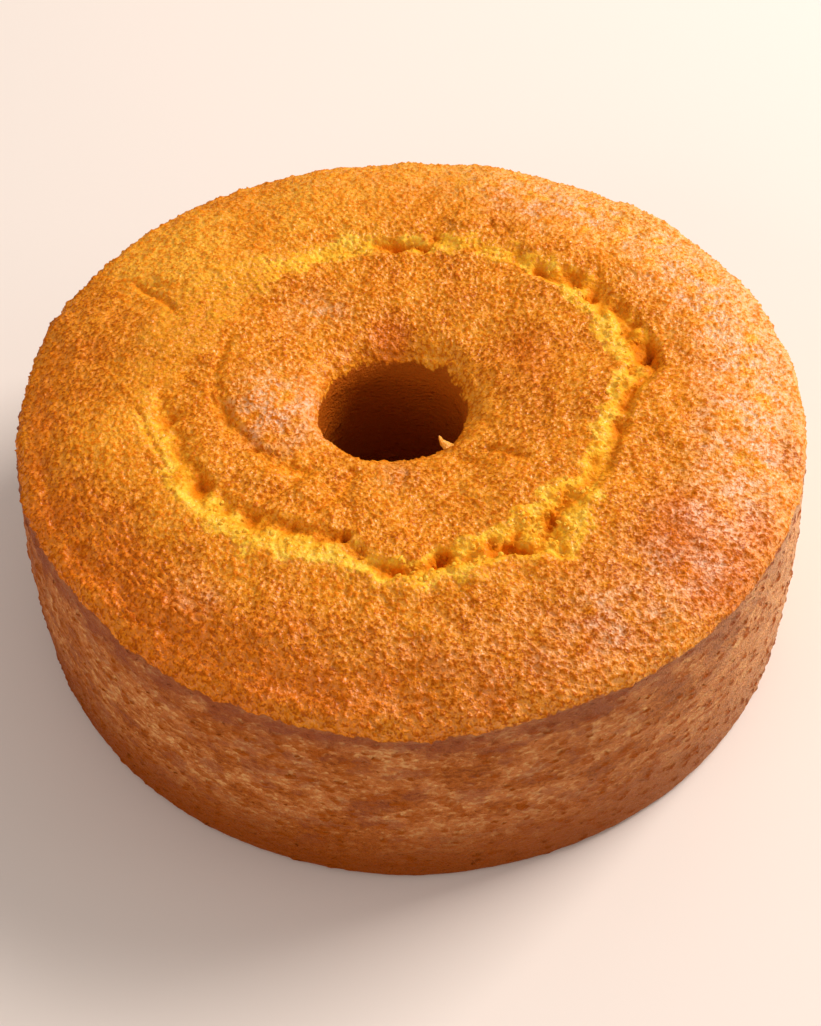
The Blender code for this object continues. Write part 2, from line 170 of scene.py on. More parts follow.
# Uneven fields over the cake: the seed of a field's waves, how many there are, their
# shortest and longest length in millimetres, and what their sum is divided by
UNEVEN = {
    "crust": (24, 14, 24, 80, 1),
    "fine grooves": (5, 30, 4, 13, 4),
    "broad grooves": (6, 30, 9, 24, 4),
    "crumb edge": (7, 40, 5.5, 16.5, 9),
    "film edge": (11, 30, 1.6, 12, 4),
    "browning": (17, 40, 7, 30, 4),
    "dryness_and_sheen": (31, 40, 5, 20, 4),
}
WAVE_HEIGHT = 0.22 * MM

# The crust's stretched streaks inside the rim's near left: the patch's middle and reach
# in degrees and its radii, then the streaks' seed, number of layers and height, how far
# apart they lie, how many degrees long they are, how much they lean and sway, and what
# their sum is divided by
STREAK_SIDE = 222
STREAK_REACH = 34
STREAK_BAND = (94 * MM, 100 * MM, 114 * MM, 117 * MM)
STREAK_SEED = 9
STREAK_LAYERS = 10
STREAK_HEIGHT = 0.2 * MM
STREAK_GAPS = (1.47 * MM, 3.36 * MM)
STREAK_LENGTHS = (8, 25)
STREAK_LEAN = 3.1
STREAK_SWAY = 1.9
STREAK_SWAY_RATE = 2.7
STREAK_DIVISOR = 3

# The curl of crust on the hole's near edge: its angle round the hole, how far out it
# stands, its length and widths, how it leans, curls and crumples, how deep its foot is
# sunk, its points, and its grain for the finish
FLAKE_ANGLE = math.radians(-41)
FLAKE_FROM_EDGE = 1.7 * MM
FLAKE_LENGTH = 6.0 * MM
FLAKE_FOOT_RADIUS = 2.2 * MM
FLAKE_TIP_RADIUS = 0.45 * MM
FLAKE_TAPER_POWER = 0.8
FLAKE_TIP_POWER = 8
FLAKE_FLATNESS = 0.6
FLAKE_LEAN = math.radians(46)
FLAKE_TURN = math.radians(156)
FLAKE_CURL = 0.9 * MM
FLAKE_CRUMPLE = 0.35
FLAKE_WRINKLES = (1.5, 7)
FLAKE_SUNK = 1.6 * MM
FLAKE_SIDES = 20
FLAKE_STEPS = 26
FLAKE_GRAIN = 0.75

# Where the yellow crumb shows. Each station has an angle in degrees, the band's inner
# and outer radius in millimetres, how yellow it is and how torn, from 0 to 1.
CRUMB_BAND = (
    (0, 63, 71, 0.75, 1), (8, 63.5, 72, 0.8, 1), (14, 63, 75, 1, 1), (20, 63, 73, 1, 1),
    (30, 62.5, 71, 1, 1), (37, 63, 72, 0.85, 1), (45, 62.5, 70, 0.7, 0.9),
    (55, 62, 70, 0.55, 0.6), (68, 62, 70, 0.45, 0.4), (80, 61.5, 68, 0.6, 0.6),
    (90, 61, 67, 0.7, 0.8), (100, 62, 69, 0.7, 0.7), (108, 62.5, 70, 0.85, 0.5),
    (114, 62.5, 70, 1, 0.4), (122, 63, 72, 0.6, 0.2), (135, 62, 82, 0.35, 0.1),
    (150, 62, 88, 0.3, 0.1), (165, 64, 88, 0.25, 0.1), (178, 72, 86, 0.25, 0.1),
    (186, 74, 84, 0.35, 0.1), (192, 74, 83, 0.45, 0.2), (200, 73, 80.5, 0.6, 0.3),
    (210, 73, 80.5, 0.85, 0.4), (220, 72.5, 80.5, 0.95, 0.5), (230, 70.5, 79.5, 1, 0.5),
    (240, 68.5, 77.5, 0.95, 0.5), (250, 67.5, 75.5, 0.8, 0.6), (258, 69, 76.5, 0.65, 0.8),
    (265, 71, 79, 0.55, 1), (272, 68, 79.5, 0.6, 1), (280, 65, 79, 0.7, 1),
    (290, 64, 75, 0.9, 1), (297, 61, 77, 0.95, 1), (303, 60, 81, 0.95, 1),
    (310, 59.5, 77, 0.9, 1), (316, 60, 72, 0.85, 1), (322, 61, 69, 0.7, 0.9),
    (330, 60, 66.5, 0.7, 0.9), (342, 58, 64, 0.8, 0.9), (352, 58.5, 66, 0.7, 1),
)

# How soft the band's edges are, which part of that softness the inner edge has on each
# side, how far the edges wander, and how deep a full hollow lies
BAND_SOFT_EDGE = 5.5 * MM
BAND_INNER_EDGE = (-0.5, 0.3)
BAND_WANDER = 2.2 * MM
HOLLOW_DEPTH = 3.6 * MM

# How brown the crust is baked: its middle value and limits, how much more towards one
# side of the rim, the side turned from the light, where it is partly painted shade, and
# between which radii, how patchy, how much paler on the rim's bead, a painted highlight,
# and on the streaks, and where the bead starts
BROWN_MIDDLE = 0.35
BROWN_LIMITS = (-0.6, 1.8)
BROWN_AND_SHADE_SIDE = 225
BROWN_AND_SHADE_BY_SIDE = 0.75
BROWN_RISE = (78 * MM, 112 * MM)
BROWN_PATCHY = 0.08
BEAD_HIGHLIGHT = 0.15
PALE_STREAKS = 0.14
BEAD_RISE = (114 * MM, 117 * MM)

# Patches that are baked browner or stay paler: angle in degrees, radius and size in
# millimetres, and how much. Some are painted light and shade: the browner ones on the
# collar's right slope and on the hole's back slope, both turned from the light, are
# painted shade, and the paler one on the collar's left slope, which faces the light, is
# a painted highlight.
BROWN_PATCHES = (
    (20, 38, 22, 0.55), (345, 40, 16, 0.3), (150, 84, 16, 0.2), (300, 100, 26, 0.2),
    (180, 38, 16, -0.35), (110, 85, 34, -0.5), (45, 100, 34, -0.25), (215, 86, 18, -0.3),
    (235, 88, 18, -0.25), (265, 92, 18, -0.15), (140, 98, 36, -1.1), (192, 92, 28, -0.6),
    (104, 25, 14, 0.8), (322, 102, 32, 0.9), (318, 116, 13, 0.55), (332, 115, 14, 0.5),
    (346, 116, 13, 0.5), (200, 55, 12, 0.15), (75, 52, 12, 0.1),
)

# How pale the crust is, partly dry crust and mostly painted sheen: most on the side
# that faces the light beyond some radii, with a reach in degrees on top and on the
# wall, less on the rim of another side, and patchy but for the rim's edge
SHEEN_SIDE = 8
SHEEN_REACH = 62
SHEEN_REACH_OF_WALL = 46
SHEEN_RISE = (78 * MM, 104 * MM)
SHEEN_MOST = 0.8
DULL_SIDE = 332
DULL_REACH = 30
DULL_RISE = (110 * MM, 116 * MM)
DULL_MOST = 0.3
DRY_AND_SHEEN_PATCHY = 0.5
DRY_AND_SHEEN_EVEN = (108 * MM, 116 * MM)

# Small pale spots, partly dry crust and partly painted sheen on slopes that face the
# light: angle in degrees, radius and size in millimetres, and how pale
DRY_AND_SHEEN_PATCHES = (
    (192, 40, 24, 0.8), (262, 36, 10, 0.35), (300, 103, 12, 0.35), (232, 98, 12, 0.3),
    (130, 45, 16, 0.3), (62, 100, 30, 0.4),
)

# What the pan shaped: how far below the crust's edge it starts, at the rim and in the
# hole, and how much that wobbles. The start is softest on one side of the rim.
FILM_START = 2.0 * MM
FILM_WOBBLE = 0.4 * MM
FILM_SHARP = 0.7 * MM
FILM_SOFT = 3.2 * MM
FILM_SOFT_SIDE = 350
# In the hole, where this film starts is also where the painted shade of the hole's wall begins
HOLE_FILM_START = 5.4 * MM
HOLE_FILM_WOBBLE = 0.5 * MM
HOLE_FILM_SOFT = (-2.5 * MM, 1.5 * MM)

# The relief fades out within this height of the underside, and is stronger on the bead
RELIEF_FADE = 3 * MM
BEAD_RELIEF = 0.5

# Points round the rim, and how far apart the rows lie
COLUMNS = 1440
TOP_ROW_GAP = 0.4 * MM
SIDE_ROW_GAP = 0.53 * MM
HOLE_ROW_GAP = 0.8 * MM
BASE_ROW_GAP = 4.0 * MM
LIP_WIDTH = 9 * MM
LIP_ROWS = 26
LIP_CROWDING = 1.6
ROUND_ROWS = 14
EDGE_ROWS = 5

# The radii between which the rows bend to follow the split, and where pieces meet
SPLIT_PULL_FROM = (30 * MM, 64 * MM)
SPLIT_PULL_TO = (80 * MM, 112 * MM)
COLLAR_OUTER = 56 * MM
SPLIT_OUTER = 82 * MM
SHOULDER_OUTER = 103 * MM

# Every how many columns a piece has a point, so that its faces stay about as long as wide
COLUMN_STEPS = {
    "hole_crust": 4, "collar_crust": 2, "split_crumb": 1, "shoulder_crust": 1,
    "rim_crust": 1, "side_crust": 2, "base_crust": 4,
}


def smoothstep(low, high, value):
    """0 below low, 1 above high, and an even S between them."""
    t = np.clip((value - low) / (high - low), 0, 1)
    return t * t * (3 - 2 * t)


def near(degrees, side, reach):
    """1 at an angle of the ring, and less the further from it."""
    away = (degrees - side + 180) % 360 - 180
    return np.exp(-((away / reach) ** 2))


def ring_place(x, y):
    """The radius and the angle in degrees of places on the cake."""
    return np.hypot(x, y), np.degrees(np.arctan2(y, x)) % 360


def round_the_ring(stations, degrees):
    """The stations' values at each angle, joined by one closed smooth curve."""
    table = np.array(stations, float)
    angles, values = table[:, 0], table[:, 1:]
    count = len(angles)
    after = np.searchsorted(angles, degrees, side="right") % count
    before = (after - 1) % count
    gap = (angles[after] - angles[before]) % 360
    t = (((degrees - angles[before]) % 360) / gap)[:, None]
    low, high = values[before], values[after]
    low_turn = (high - values[before - 1]) / 2
    high_turn = (values[(after + 1) % count] - low) / 2
    curve = (
        low * (1 + 2 * t) * (1 - t) ** 2
        + low_turn * t * (1 - t) ** 2
        + high * t * t * (3 - 2 * t)
        + high_turn * t * t * (t - 1)
    )
    return curve.T


def groove_depth(stations, degrees, radius, ragged):
    """Depth of a groove that runs round the ring, steeper on its narrower side, with
    ragged edges and a floor that comes and goes."""
    line, inward, outward, depth = round_the_ring(stations, degrees) * MM
    across = radius - line + RAGGED_EDGE * ragged[0]
    depth = depth * (1 + RAGGED_DEPTH * ragged[1])
    inner_side = smoothstep(-np.maximum(inward, MM), 0, across)
    outer_side = 1 - smoothstep(0, np.maximum(outward, MM), across)
    return np.maximum(depth, 0) * np.minimum(inner_side, outer_side)


def polar(degrees, radius):
    """The place on the cake at an angle and a radius in millimetres, in metres."""
    angle = math.radians(degrees)
    return np.array((math.cos(angle), math.sin(angle))) * radius * MM


def bumps(spots, x, y):
    """Rounded bumps, each with an angle, a radius, a size and a height."""
    height = np.zeros_like(x)
    for degrees, radius, size, rise in spots:
        px, py = polar(degrees, radius)
        away = np.hypot(x - px, y - py) / (size * MM)
        height += rise * MM * (1 - smoothstep(0, 1, away))
    return height


def furrow_depth(x, y):
    """Depth of the furrows, each of which follows a few straight runs."""
    depth = np.zeros_like(x)
    for half_width, deep, route in FURROWS:
        places = [polar(*point) for point in route]
        away = np.full_like(x, np.inf)
        for start, end in zip(places, places[1:]):
            run = end - start
            t = np.clip(((x - start[0]) * run[0] + (y - start[1]) * run[1]) / (run @ run), 0, 1)
            away = np.minimum(away, np.hypot(x - start[0] - t * run[0], y - start[1] - t * run[1]))
        depth = np.maximum(depth, deep * MM * (1 - smoothstep(0, half_width * MM, away)))
    return depth


def swell(places, degrees):
    """Sum of rounded swellings round the ring, each with an angle, a reach and a size."""
    total = np.zeros_like(degrees)
    for angle, reach, size in places:
        total += size * MM * near(degrees, angle, reach)
    return total


def uneven(field, x, y):
    """One of the uneven fields, a sum of waves in many directions, the same on every run."""
    seed, count, shortest, longest, divisor = UNEVEN[field]
    draw = np.random.default_rng(seed)
    height = np.zeros_like(x)
    for _ in range(count):
        wave = draw.uniform(shortest * MM, longest * MM)
        heading, phase = draw.uniform(0, 2 * math.pi, 2)
        along = x * math.cos(heading) + y * math.sin(heading)
        height += np.sin(2 * math.pi * along / wave + phase)
    return height / divisor


def quarter_round(inset, size):
    """How far an edge rounded to a quarter circle falls, at a distance inside the edge."""
    e = np.clip(1 - inset / size, 0, 1)
    return size * (1 - np.sqrt(1 - e * e))


def lip_fall(sizes, x, y):
    """How far the hole's lip falls, sharply at the front and softly at the back."""
    radius, degrees = ring_place(x - HOLE_CENTRE.x, y - HOLE_CENTRE.y)
    softness = 0.5 + 0.5 * np.cos(np.radians(degrees) - LIP_SOFT_SIDE)
    size = LIP_ROUND_SHARP + (LIP_ROUND_SOFT - LIP_ROUND_SHARP) * softness**LIP_SOFT_POWER
    return quarter_round(radius - sizes.hole_radius - swell(HOLE_SWELLS, degrees), size)


def raggedness(x, y):
    """Two uneven fields from about -2 to 2 that break up the grooves."""
    fine, broad = uneven("fine grooves", x, y), uneven("broad grooves", x, y)
    return [a * fine + b * broad for a, b in RAGGED_MIX]


def streaks(radius, degrees):
    """Uneven ripples, about -1 to 1, that run round the cake inside the rim's near left."""
    inner, inner_full, outer_full, outer = STREAK_BAND
    share = near(degrees, STREAK_SIDE, STREAK_REACH)
    share *= smoothstep(inner, inner_full, radius) * (1 - smoothstep(outer_full, outer, radius))
    draw = np.random.default_rng(STREAK_SEED)
    ripple = np.zeros_like(radius)
    for _ in range(STREAK_LAYERS):
        gap = draw.uniform(*STREAK_GAPS)
        turn = np.radians(degrees) * round(360 / draw.uniform(*STREAK_LENGTHS))
        lean = np.sin(turn + draw.uniform(0, 2 * math.pi))
        sway = np.sin(turn * STREAK_SWAY_RATE + draw.uniform(0, 2 * math.pi))
        ripple += np.sin(2 * math.pi * radius / gap + STREAK_LEAN * lean + STREAK_SWAY * sway)
    return share * ripple / STREAK_DIVISOR


def crust_height(sizes, x, y):
    """Height of the crust above the underside."""
    radius, degrees = ring_place(x, y)
    edge = sizes.rim_radius + swell(WALL_SWELLS, degrees)
    out = np.clip((radius - DOME_RADIUS) / (sizes.rim_radius - DOME_RADIUS), 0, 1)
    inwards = np.clip((DOME_RADIUS - radius) / (DOME_RADIUS - sizes.hole_radius), 0, 1)
    height = sizes.dome_height - (sizes.dome_height - sizes.rim_height) * out**RIM_FALL_POWER
    height -= (sizes.dome_height - sizes.lip_height) * inwards**LIP_FALL_POWER
    height += swell(RIM_RISES, degrees) * out**2 + WAVE_HEIGHT * uneven("crust", x, y)
    height += bumps(LUMPS, x, y) - bumps(POCKETS, x, y) - furrow_depth(x, y)
    height += STREAK_HEIGHT * streaks(radius, degrees)
    ragged = raggedness(x, y)
    for stations in (SPLIT, FOLD, EDGE_GROOVE):
        height -= groove_depth(stations, degrees, radius, ragged)
    return height - quarter_round(edge - radius, RIM_ROUND) - lip_fall(sizes, x, y)


def spaced(start, end, gap):
    """Values from start to end, evenly spaced by about a gap, without the last one."""
    return list(np.linspace(start, end, 1 + round(abs(end - start) / gap))[:-1])


def section(sizes):
    """The half section of the flat-topped ring, from the foot of the hole up, over and
    round to it again: for each row its radius and its share of the ring's height, and the
    first row of each piece."""
    hole, rim, edge = sizes.hole_radius, sizes.rim_radius, BASE_EDGE_ROUND
    top = sizes.rim_height - RIM_ROUND
    steps = np.linspace(0, 1, LIP_ROWS, endpoint=False) ** LIP_CROWDING
    turns = np.linspace(0, math.pi / 2, ROUND_ROWS, endpoint=False)
    bends = np.linspace(0, math.pi / 2, EDGE_ROWS, endpoint=False)
    runs = {"hole_crust": [(hole, z) for z in spaced(edge, top, HOLE_ROW_GAP)]}
    runs["hole_crust"] += [(hole + LIP_WIDTH * step, top) for step in steps]
    names = ("collar_crust", "split_crumb", "shoulder_crust", "rim_crust")
    meets = (hole + LIP_WIDTH, COLLAR_OUTER, SPLIT_OUTER, SHOULDER_OUTER, rim - RIM_ROUND)
    for name, inner, outer in zip(names, meets, meets[1:]):
        runs[name] = [(r, top) for r in spaced(inner, outer, TOP_ROW_GAP)]
    runs["rim_crust"] += [(rim - RIM_ROUND * (1 - math.sin(turn)), top) for turn in turns]
    runs["side_crust"] = [(rim, z) for z in spaced(top, edge, SIDE_ROW_GAP)]
    runs["base_crust"] = [
        *((rim - edge * (1 - math.cos(a)), edge * (1 - math.sin(a))) for a in bends),
        *((r, 0) for r in spaced(rim - edge, hole + edge, BASE_ROW_GAP)),
        *((hole + edge * (1 - math.sin(a)), edge * (1 - math.cos(a))) for a in bends),
        (hole, edge),
    ]
    rows = np.array([point for run in runs.values() for point in run])
    starts = dict(zip(runs, np.cumsum([0] + [len(run) for run in runs.values()])))
    return rows[:, 0], rows[:, 1] / top, starts


def crumb_masks(x, y, radius, degrees):
    """How yellow and how torn the crust is: a band round the dome with wandering edges."""
    inner, outer, yellow, torn = round_the_ring(CRUMB_BAND, degrees)
    across = radius + BAND_WANDER * uneven("crumb edge", x, y)
    inner, outer, soft = inner * MM, outer * MM, BAND_SOFT_EDGE
    low, high = (inner + share * soft for share in BAND_INNER_EDGE)
    inside = smoothstep(low, high, across)
    shown = inside * (1 - smoothstep(outer - soft, outer + soft, across))
    opened = inside * (1 - smoothstep(outer - soft, outer, across))
    return shown * np.clip(yellow, 0, 1), opened * np.clip(torn, 0, 1)


def hollow(x, y, radius, degrees):
    """How deep a point lies in the split and its pockets, 1 being a deep hollow."""
    ragged = raggedness(x, y)
    depth = sum(groove_depth(stations, degrees, radius, ragged) for stations in (SPLIT, FOLD))
    return (depth + bumps(POCKETS, x, y) + furrow_depth(x, y)) / HOLLOW_DEPTH


def rim_bead(radius, degrees):
    """1 on the rim's edge round its near left, which gets more relief and a painted highlight."""
    side = np.maximum(np.cos(np.radians(degrees - BROWN_AND_SHADE_SIDE)), 0)
    return side * smoothstep(*BEAD_RISE, radius)


def dryness_and_sheen(x, y, radius, degrees, top):
    """How pale the crust is: painted sheen on the right shoulder and wall, which face the
    light, partly dry crust there too, and small spots.
    """
    side = near(degrees, SHEEN_SIDE, np.where(top, SHEEN_REACH, SHEEN_REACH_OF_WALL))
    dry = SHEEN_MOST * side * smoothstep(*SHEEN_RISE, radius) + bumps(DRY_AND_SHEEN_PATCHES, x, y) / MM
    dull = near(degrees, DULL_SIDE, DULL_REACH)
    dry -= DULL_MOST * dull * top * smoothstep(*DULL_RISE, radius)
    patchy = DRY_AND_SHEEN_PATCHY * (1 - smoothstep(*DRY_AND_SHEEN_EVEN, radius))
    return np.clip(dry * (1 + patchy * uneven("dryness_and_sheen", x, y)), 0, 1)


def browning(x, y, radius, degrees):
    """How brown the crust is baked, with painted shade: more on the rim's near left, which
    is turned from the light, than on its far right, and more or less in patches, some of
    which are painted light and shade."""
    side = BROWN_AND_SHADE_BY_SIDE * np.cos(np.radians(degrees - BROWN_AND_SHADE_SIDE))
    brown = BROWN_MIDDLE + smoothstep(*BROWN_RISE, radius) * side
    brown += bumps(BROWN_PATCHES, x, y) / MM + BROWN_PATCHY * uneven("browning", x, y)
    brown -= BEAD_HIGHLIGHT * rim_bead(radius, degrees) + PALE_STREAKS * streaks(radius, degrees)
    return np.clip(brown, *BROWN_LIMITS)


def film_mask(sizes, x, y, radius, degrees, drop):
    """1 on what the pan shaped: the outer wall below its grainy edge, and the hole's wall."""
    wobble = uneven("film edge", x, y)
    inset = sizes.rim_radius + swell(WALL_SWELLS, degrees) - radius
    fall = quarter_round(np.maximum(inset, 0), RIM_ROUND) + drop
    side = 0.5 + 0.5 * np.cos(np.radians(degrees - FILM_SOFT_SIDE))
    soft = FILM_SHARP + FILM_SOFT * side**2
    wall = smoothstep(-soft, soft, fall - FILM_START - 0.5 * soft - FILM_WOBBLE * wobble)
    fall = lip_fall(sizes, x, y) + drop
    hole = smoothstep(*HOLE_FILM_SOFT, fall - HOLE_FILM_START - HOLE_FILM_WOBBLE * wobble)
    return np.where(radius > DOME_RADIUS, wall, hole)


def surface_masks(sizes, x, y, height, share, row):
    """What the relief and the shaders read of each point of the surface. A row's own
    radius and angle tell the pan side; the point's place on the cake tells the rest."""
    spot = (x, y, *ring_place(x, y))
    top = share >= 1
    yellow, torn = crumb_masks(*spot)
    drop = (1 - share) * (sizes.rim_height - RIM_ROUND)
    relief = smoothstep(0, RELIEF_FADE, height) * (1 + BEAD_RELIEF * top * rim_bead(*spot[2:]))
    return {
        "yellow": yellow * top,
        "torn": torn * top,
        "film": film_mask(sizes, x, y, *row, drop),
        "drop": drop,
        "inside": (row[0] < DOME_RADIUS) * 1.0,
        # Pale dry crust and painted sheen on what faces the light
        "dry": dryness_and_sheen(*spot, top),
        "relief": relief,
        # Browner crust, partly painted shade on the rim's side turned from the light
        "browning": browning(*spot),
        # How deep it lies; the shaders paint shade into the hollows from this
        "deep": hollow(*spot) * top,
    }


def whole_surface(sizes):
    """Every point of the cake's smooth surface as a grid of rows and columns: its place,
    its outward direction and its masks. The outer wall bellies and its foot flares."""
    radii, shares, starts = section(sizes)
    turn = np.linspace(0, 2 * math.pi, COLUMNS, endpoint=False)
    radius, angle = (a.ravel() for a in np.meshgrid(radii, turn, indexing="ij"))
    share = np.repeat(shares, COLUMNS)
    cosine, sine = np.cos(angle), np.sin(angle)
    degrees = np.degrees(angle) % 360
    outside = smoothstep(DOME_RADIUS, sizes.rim_radius, radius)
    inside = 1 - smoothstep(sizes.hole_radius, HOLE_SHIFT_REACH, radius)
    pull = smoothstep(*SPLIT_PULL_FROM, radius) * (1 - smoothstep(*SPLIT_PULL_TO, radius))
    radius += pull * (round_the_ring(SPLIT, degrees)[0] * MM - DOME_RADIUS)
    radius += outside * swell(WALL_SWELLS, degrees) + inside * swell(HOLE_SWELLS, degrees)
    x = radius * cosine + inside * HOLE_CENTRE.x
    y = radius * sine + inside * HOLE_CENTRE.y
    height = share * crust_height(sizes, x, y)
    wall_reach = FOOT_FLARE * (1 - share) + WALL_BELLY * np.sin(math.pi * share)
    reach = outside * wall_reach + inside * HOLE_TAPER * (1 - share)
    place = np.column_stack((x + cosine * reach, y + sine * reach, height))
    place = place.reshape(-1, COLUMNS, 3)
    around = np.roll(place, -1, axis=1) - np.roll(place, 1, axis=1)
    outward = np.cross(around, np.gradient(place, axis=0))
    outward /= np.linalg.norm(outward, axis=2, keepdims=True)
    masks = surface_masks(sizes, x, y, height, share, (radius, degrees))
    masks = {name: mask.reshape(-1, COLUMNS) for name, mask in masks.items()}
    return place, outward, masks, starts


# ------ meshes and objects


def ring_faces(first, second, steps):
    """Faces between two closed rows of point numbers, of which one may have several times
    as many points as the other."""
    if len(first) == len(second):
        return [
            (first[i], second[i], second[(i + 1) % len(second)], first[(i + 1) % len(first)])
            for i in range(len(first))
        ]
    faces = []
    for i in range(min(len(first), len(second))):
        if len(first) > len(second):
            fine = [first[(i * steps + k) % len(first)] for k in range(steps, -1, -1)]
            faces.append((second[i], second[(i + 1) % len(second)], *fine))
        else:
            fine = [second[(i * steps + k) % len(second)] for k in range(steps + 1)]
            faces.append((first[i], *fine, first[(i + 1) % len(first)]))
    return faces


def keep_values(mesh, name, values):
    """Keeps a number or a direction for each point of a mesh, for its nodes to read."""
    kind, field = ("FLOAT", "value") if values.ndim == 1 else ("FLOAT_VECTOR", "vector")
    mesh.attributes.new(name, kind, "POINT").data.foreach_set(field, values.ravel())


def crust_mesh(name, surface):
    """A piece's mesh from its rows of the surface, with the masks as attributes. Where a
    neighbour has more columns, the shared row has as many as the neighbour."""
    place, outward, masks, starts = surface
    names = list(starts)
    index = names.index(name)
    first = starts[name]
    last = starts[names[index + 1]] if index + 1 < len(names) else len(place) - 1
    step = COLUMN_STEPS[name]
    steps = [step] * (last - first + 1)
    steps[0] = min(step, COLUMN_STEPS[names[index - 1]])
    steps[-1] = min(step, COLUMN_STEPS[names[(index + 1) % len(names)]])
    picks = [(row, np.arange(0, COLUMNS, gap)) for row, gap in zip(range(first, last + 1), steps)]

    def picked(values):
        return np.concatenate([values[row, columns] for row, columns in picks])

    counts = np.cumsum([0] + [len(columns) for _, columns in picks])
    numbers = [range(a, b) for a, b in zip(counts, counts[1:])]
    faces = []
    for low, high in zip(numbers, numbers[1:]):
        faces += ring_faces(low, high, max(len(low), len(high)) // min(len(low), len(high)))
    mesh = bpy.data.meshes.new(name)
    mesh.from_pydata(picked(place), [], faces)
    for layer, values in {"rest": place, "outward": outward, **masks}.items():
        keep_values(mesh, layer, picked(values))
    return mesh


def flake_mesh(sizes):
    """The curl of crust: a flattened leaning spike with a bent back and crumpled skin."""
    reach = sizes.hole_radius + FLAKE_FROM_EDGE
    x = HOLE_CENTRE.x + math.cos(FLAKE_ANGLE) * reach
    y = HOLE_CENTRE.y + math.sin(FLAKE_ANGLE) * reach
    ground = crust_height(sizes, np.array([x]), np.array([y]))[0]
    lean = Matrix.Rotation(FLAKE_TURN, 4, "Z") @ Matrix.Rotation(FLAKE_LEAN, 4, "Y")
    stand = Matrix.Translation((x, y, ground - FLAKE_SUNK)) @ lean
    around, along = FLAKE_WRINKLES
    points = []
    for step in range(FLAKE_STEPS + 1):
        share = step / FLAKE_STEPS
        thinned = (FLAKE_FOOT_RADIUS - FLAKE_TIP_RADIUS) * share**FLAKE_TAPER_POWER
        radius = (FLAKE_FOOT_RADIUS - thinned) * math.sqrt(1 - share**FLAKE_TIP_POWER)
        bend = FLAKE_CURL * math.sin(math.pi * share)
        for side in range(FLAKE_SIDES):
            turn = 2 * math.pi * side / FLAKE_SIDES
            flat = Vector((math.cos(turn) * FLAKE_FLATNESS, math.sin(turn), 0))
            wrinkle = noise.noise(Vector((flat.x * around, flat.y * around, share * along)))
            spot = flat * radius * (1 + FLAKE_CRUMPLE * wrinkle)
            points.append(stand @ (spot + Vector((bend, 0, FLAKE_LENGTH * share))))
    rings = [range(a, a + FLAKE_SIDES) for a in range(0, len(points), FLAKE_SIDES)]
    faces = []
    for low, high in zip(rings, rings[1:]):
        for side in range(FLAKE_SIDES):
            after = (side + 1) % FLAKE_SIDES
            faces.append((low[side], low[after], high[after], high[side]))
    faces += [tuple(reversed(rings[0])), tuple(rings[-1])]
    mesh = bpy.data.meshes.new("lip_flake")
    mesh.from_pydata(points, [], faces)
    keep_values(mesh, "rest", np.array(points))
    keep_values(mesh, "grain", np.full(len(points), FLAKE_GRAIN))
    return mesh


def placed(name, data):
    """A new object in the scene."""
    thing = bpy.data.objects.new(name, data)
    bpy.context.scene.collection.objects.link(thing)
    return thing


def dress(name, mesh):
    """Links a finished mesh as a piece of the cake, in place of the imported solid."""
    piece = placed(name, mesh)
    piece.data.shade_smooth()
    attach(piece, BODY)
    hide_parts(NODE)
    return piece


def grown(mesh, tree, inputs):
    """The plain mesh that a Geometry Nodes tree makes of a mesh, with its inputs set."""
    carrier = placed(mesh.name + "_plain", mesh)
    modifier = carrier.modifiers.new("grow", "NODES")
    modifier.node_group = tree
    for item in tree.interface.items_tree:
        if item.item_type == "SOCKET" and item.name in inputs:
            modifier[item.identifier] = inputs[item.name]
    evaluated = carrier.evaluated_get(bpy.context.evaluated_depsgraph_get())
    result = bpy.data.meshes.new_from_object(evaluated)
    carrier.modifiers.remove(modifier)
    bpy.data.objects.remove(carrier)
    if not result.polygons:
        raise RuntimeError(mesh.name + " came out of its nodes without a face")
    return result


# ------ patterns and relief

# The part of its range that a noise mostly keeps to
NOISE_SPAN = (0.3, 0.7)

# How patterns stray: the size of the noise that pushes them, and its reach
GRAIN_STRAY = (1.4 * MM, 0.8 * MM)
TEAR_STRAY = (3.0 * MM, 2.0 * MM)
FILM_STRAY = (2.0 * MM, 1.6 * MM)
FINE_GRAIN = 0.8 * MM

# Loose crumbs: the seed of their places, the limits of their stretch and of their turn,
# the size of the noise that makes them lumpy and its reach, and the size of their tones
CRUMB_SEED = 3
CRUMB_STRETCH = ((0.7, 0.7, 0.5), (1.2, 1.1, 0.9))
CRUMB_TURN = ((0, 0, 0), (6.28, 6.28, 6.28))
CRUMB_LUMPINESS = (0.7 * MM, 0.9 * MM)
CRUMB_TONE = 1.2 * MM

# Holes of each kind: the range of chance over which their width runs, that width as
# shares of their spacing, and the share of a hole that is its floor. Chances below the
# range give the narrowest ones.
PORES = ((0.2, 0.8, 0.15, 0.56), 0.35)
GAPS = ((0.45, 0.8, 0.05, 0.5), 0.2)
PITS = ((0.3, 0.85, 0.05, 0.6), 0.25)

# Grains of the crust and of the torn crumb: from where to where they fall off, as shares
# of their size out from the middle
GRANULE_FALL = (0.12, 0.7)
GRIT_FALL = (0.05, 0.85)

# What the pan side's marks are scaled by, so that they lie along the rim
LYING = (0.55, 0.55, 1)

RELIEF_SIZES = (
    "grain_size", "grain_depth", "pore_spacing", "pore_depth", "lump_size", "lump_depth",
    "tear_size", "tear_depth", "pit_spacing", "pit_depth", "mottle_size",
)
CRUMB_SIZES = ("crumbs_per_area", "smallest_crumb", "largest_crumb")


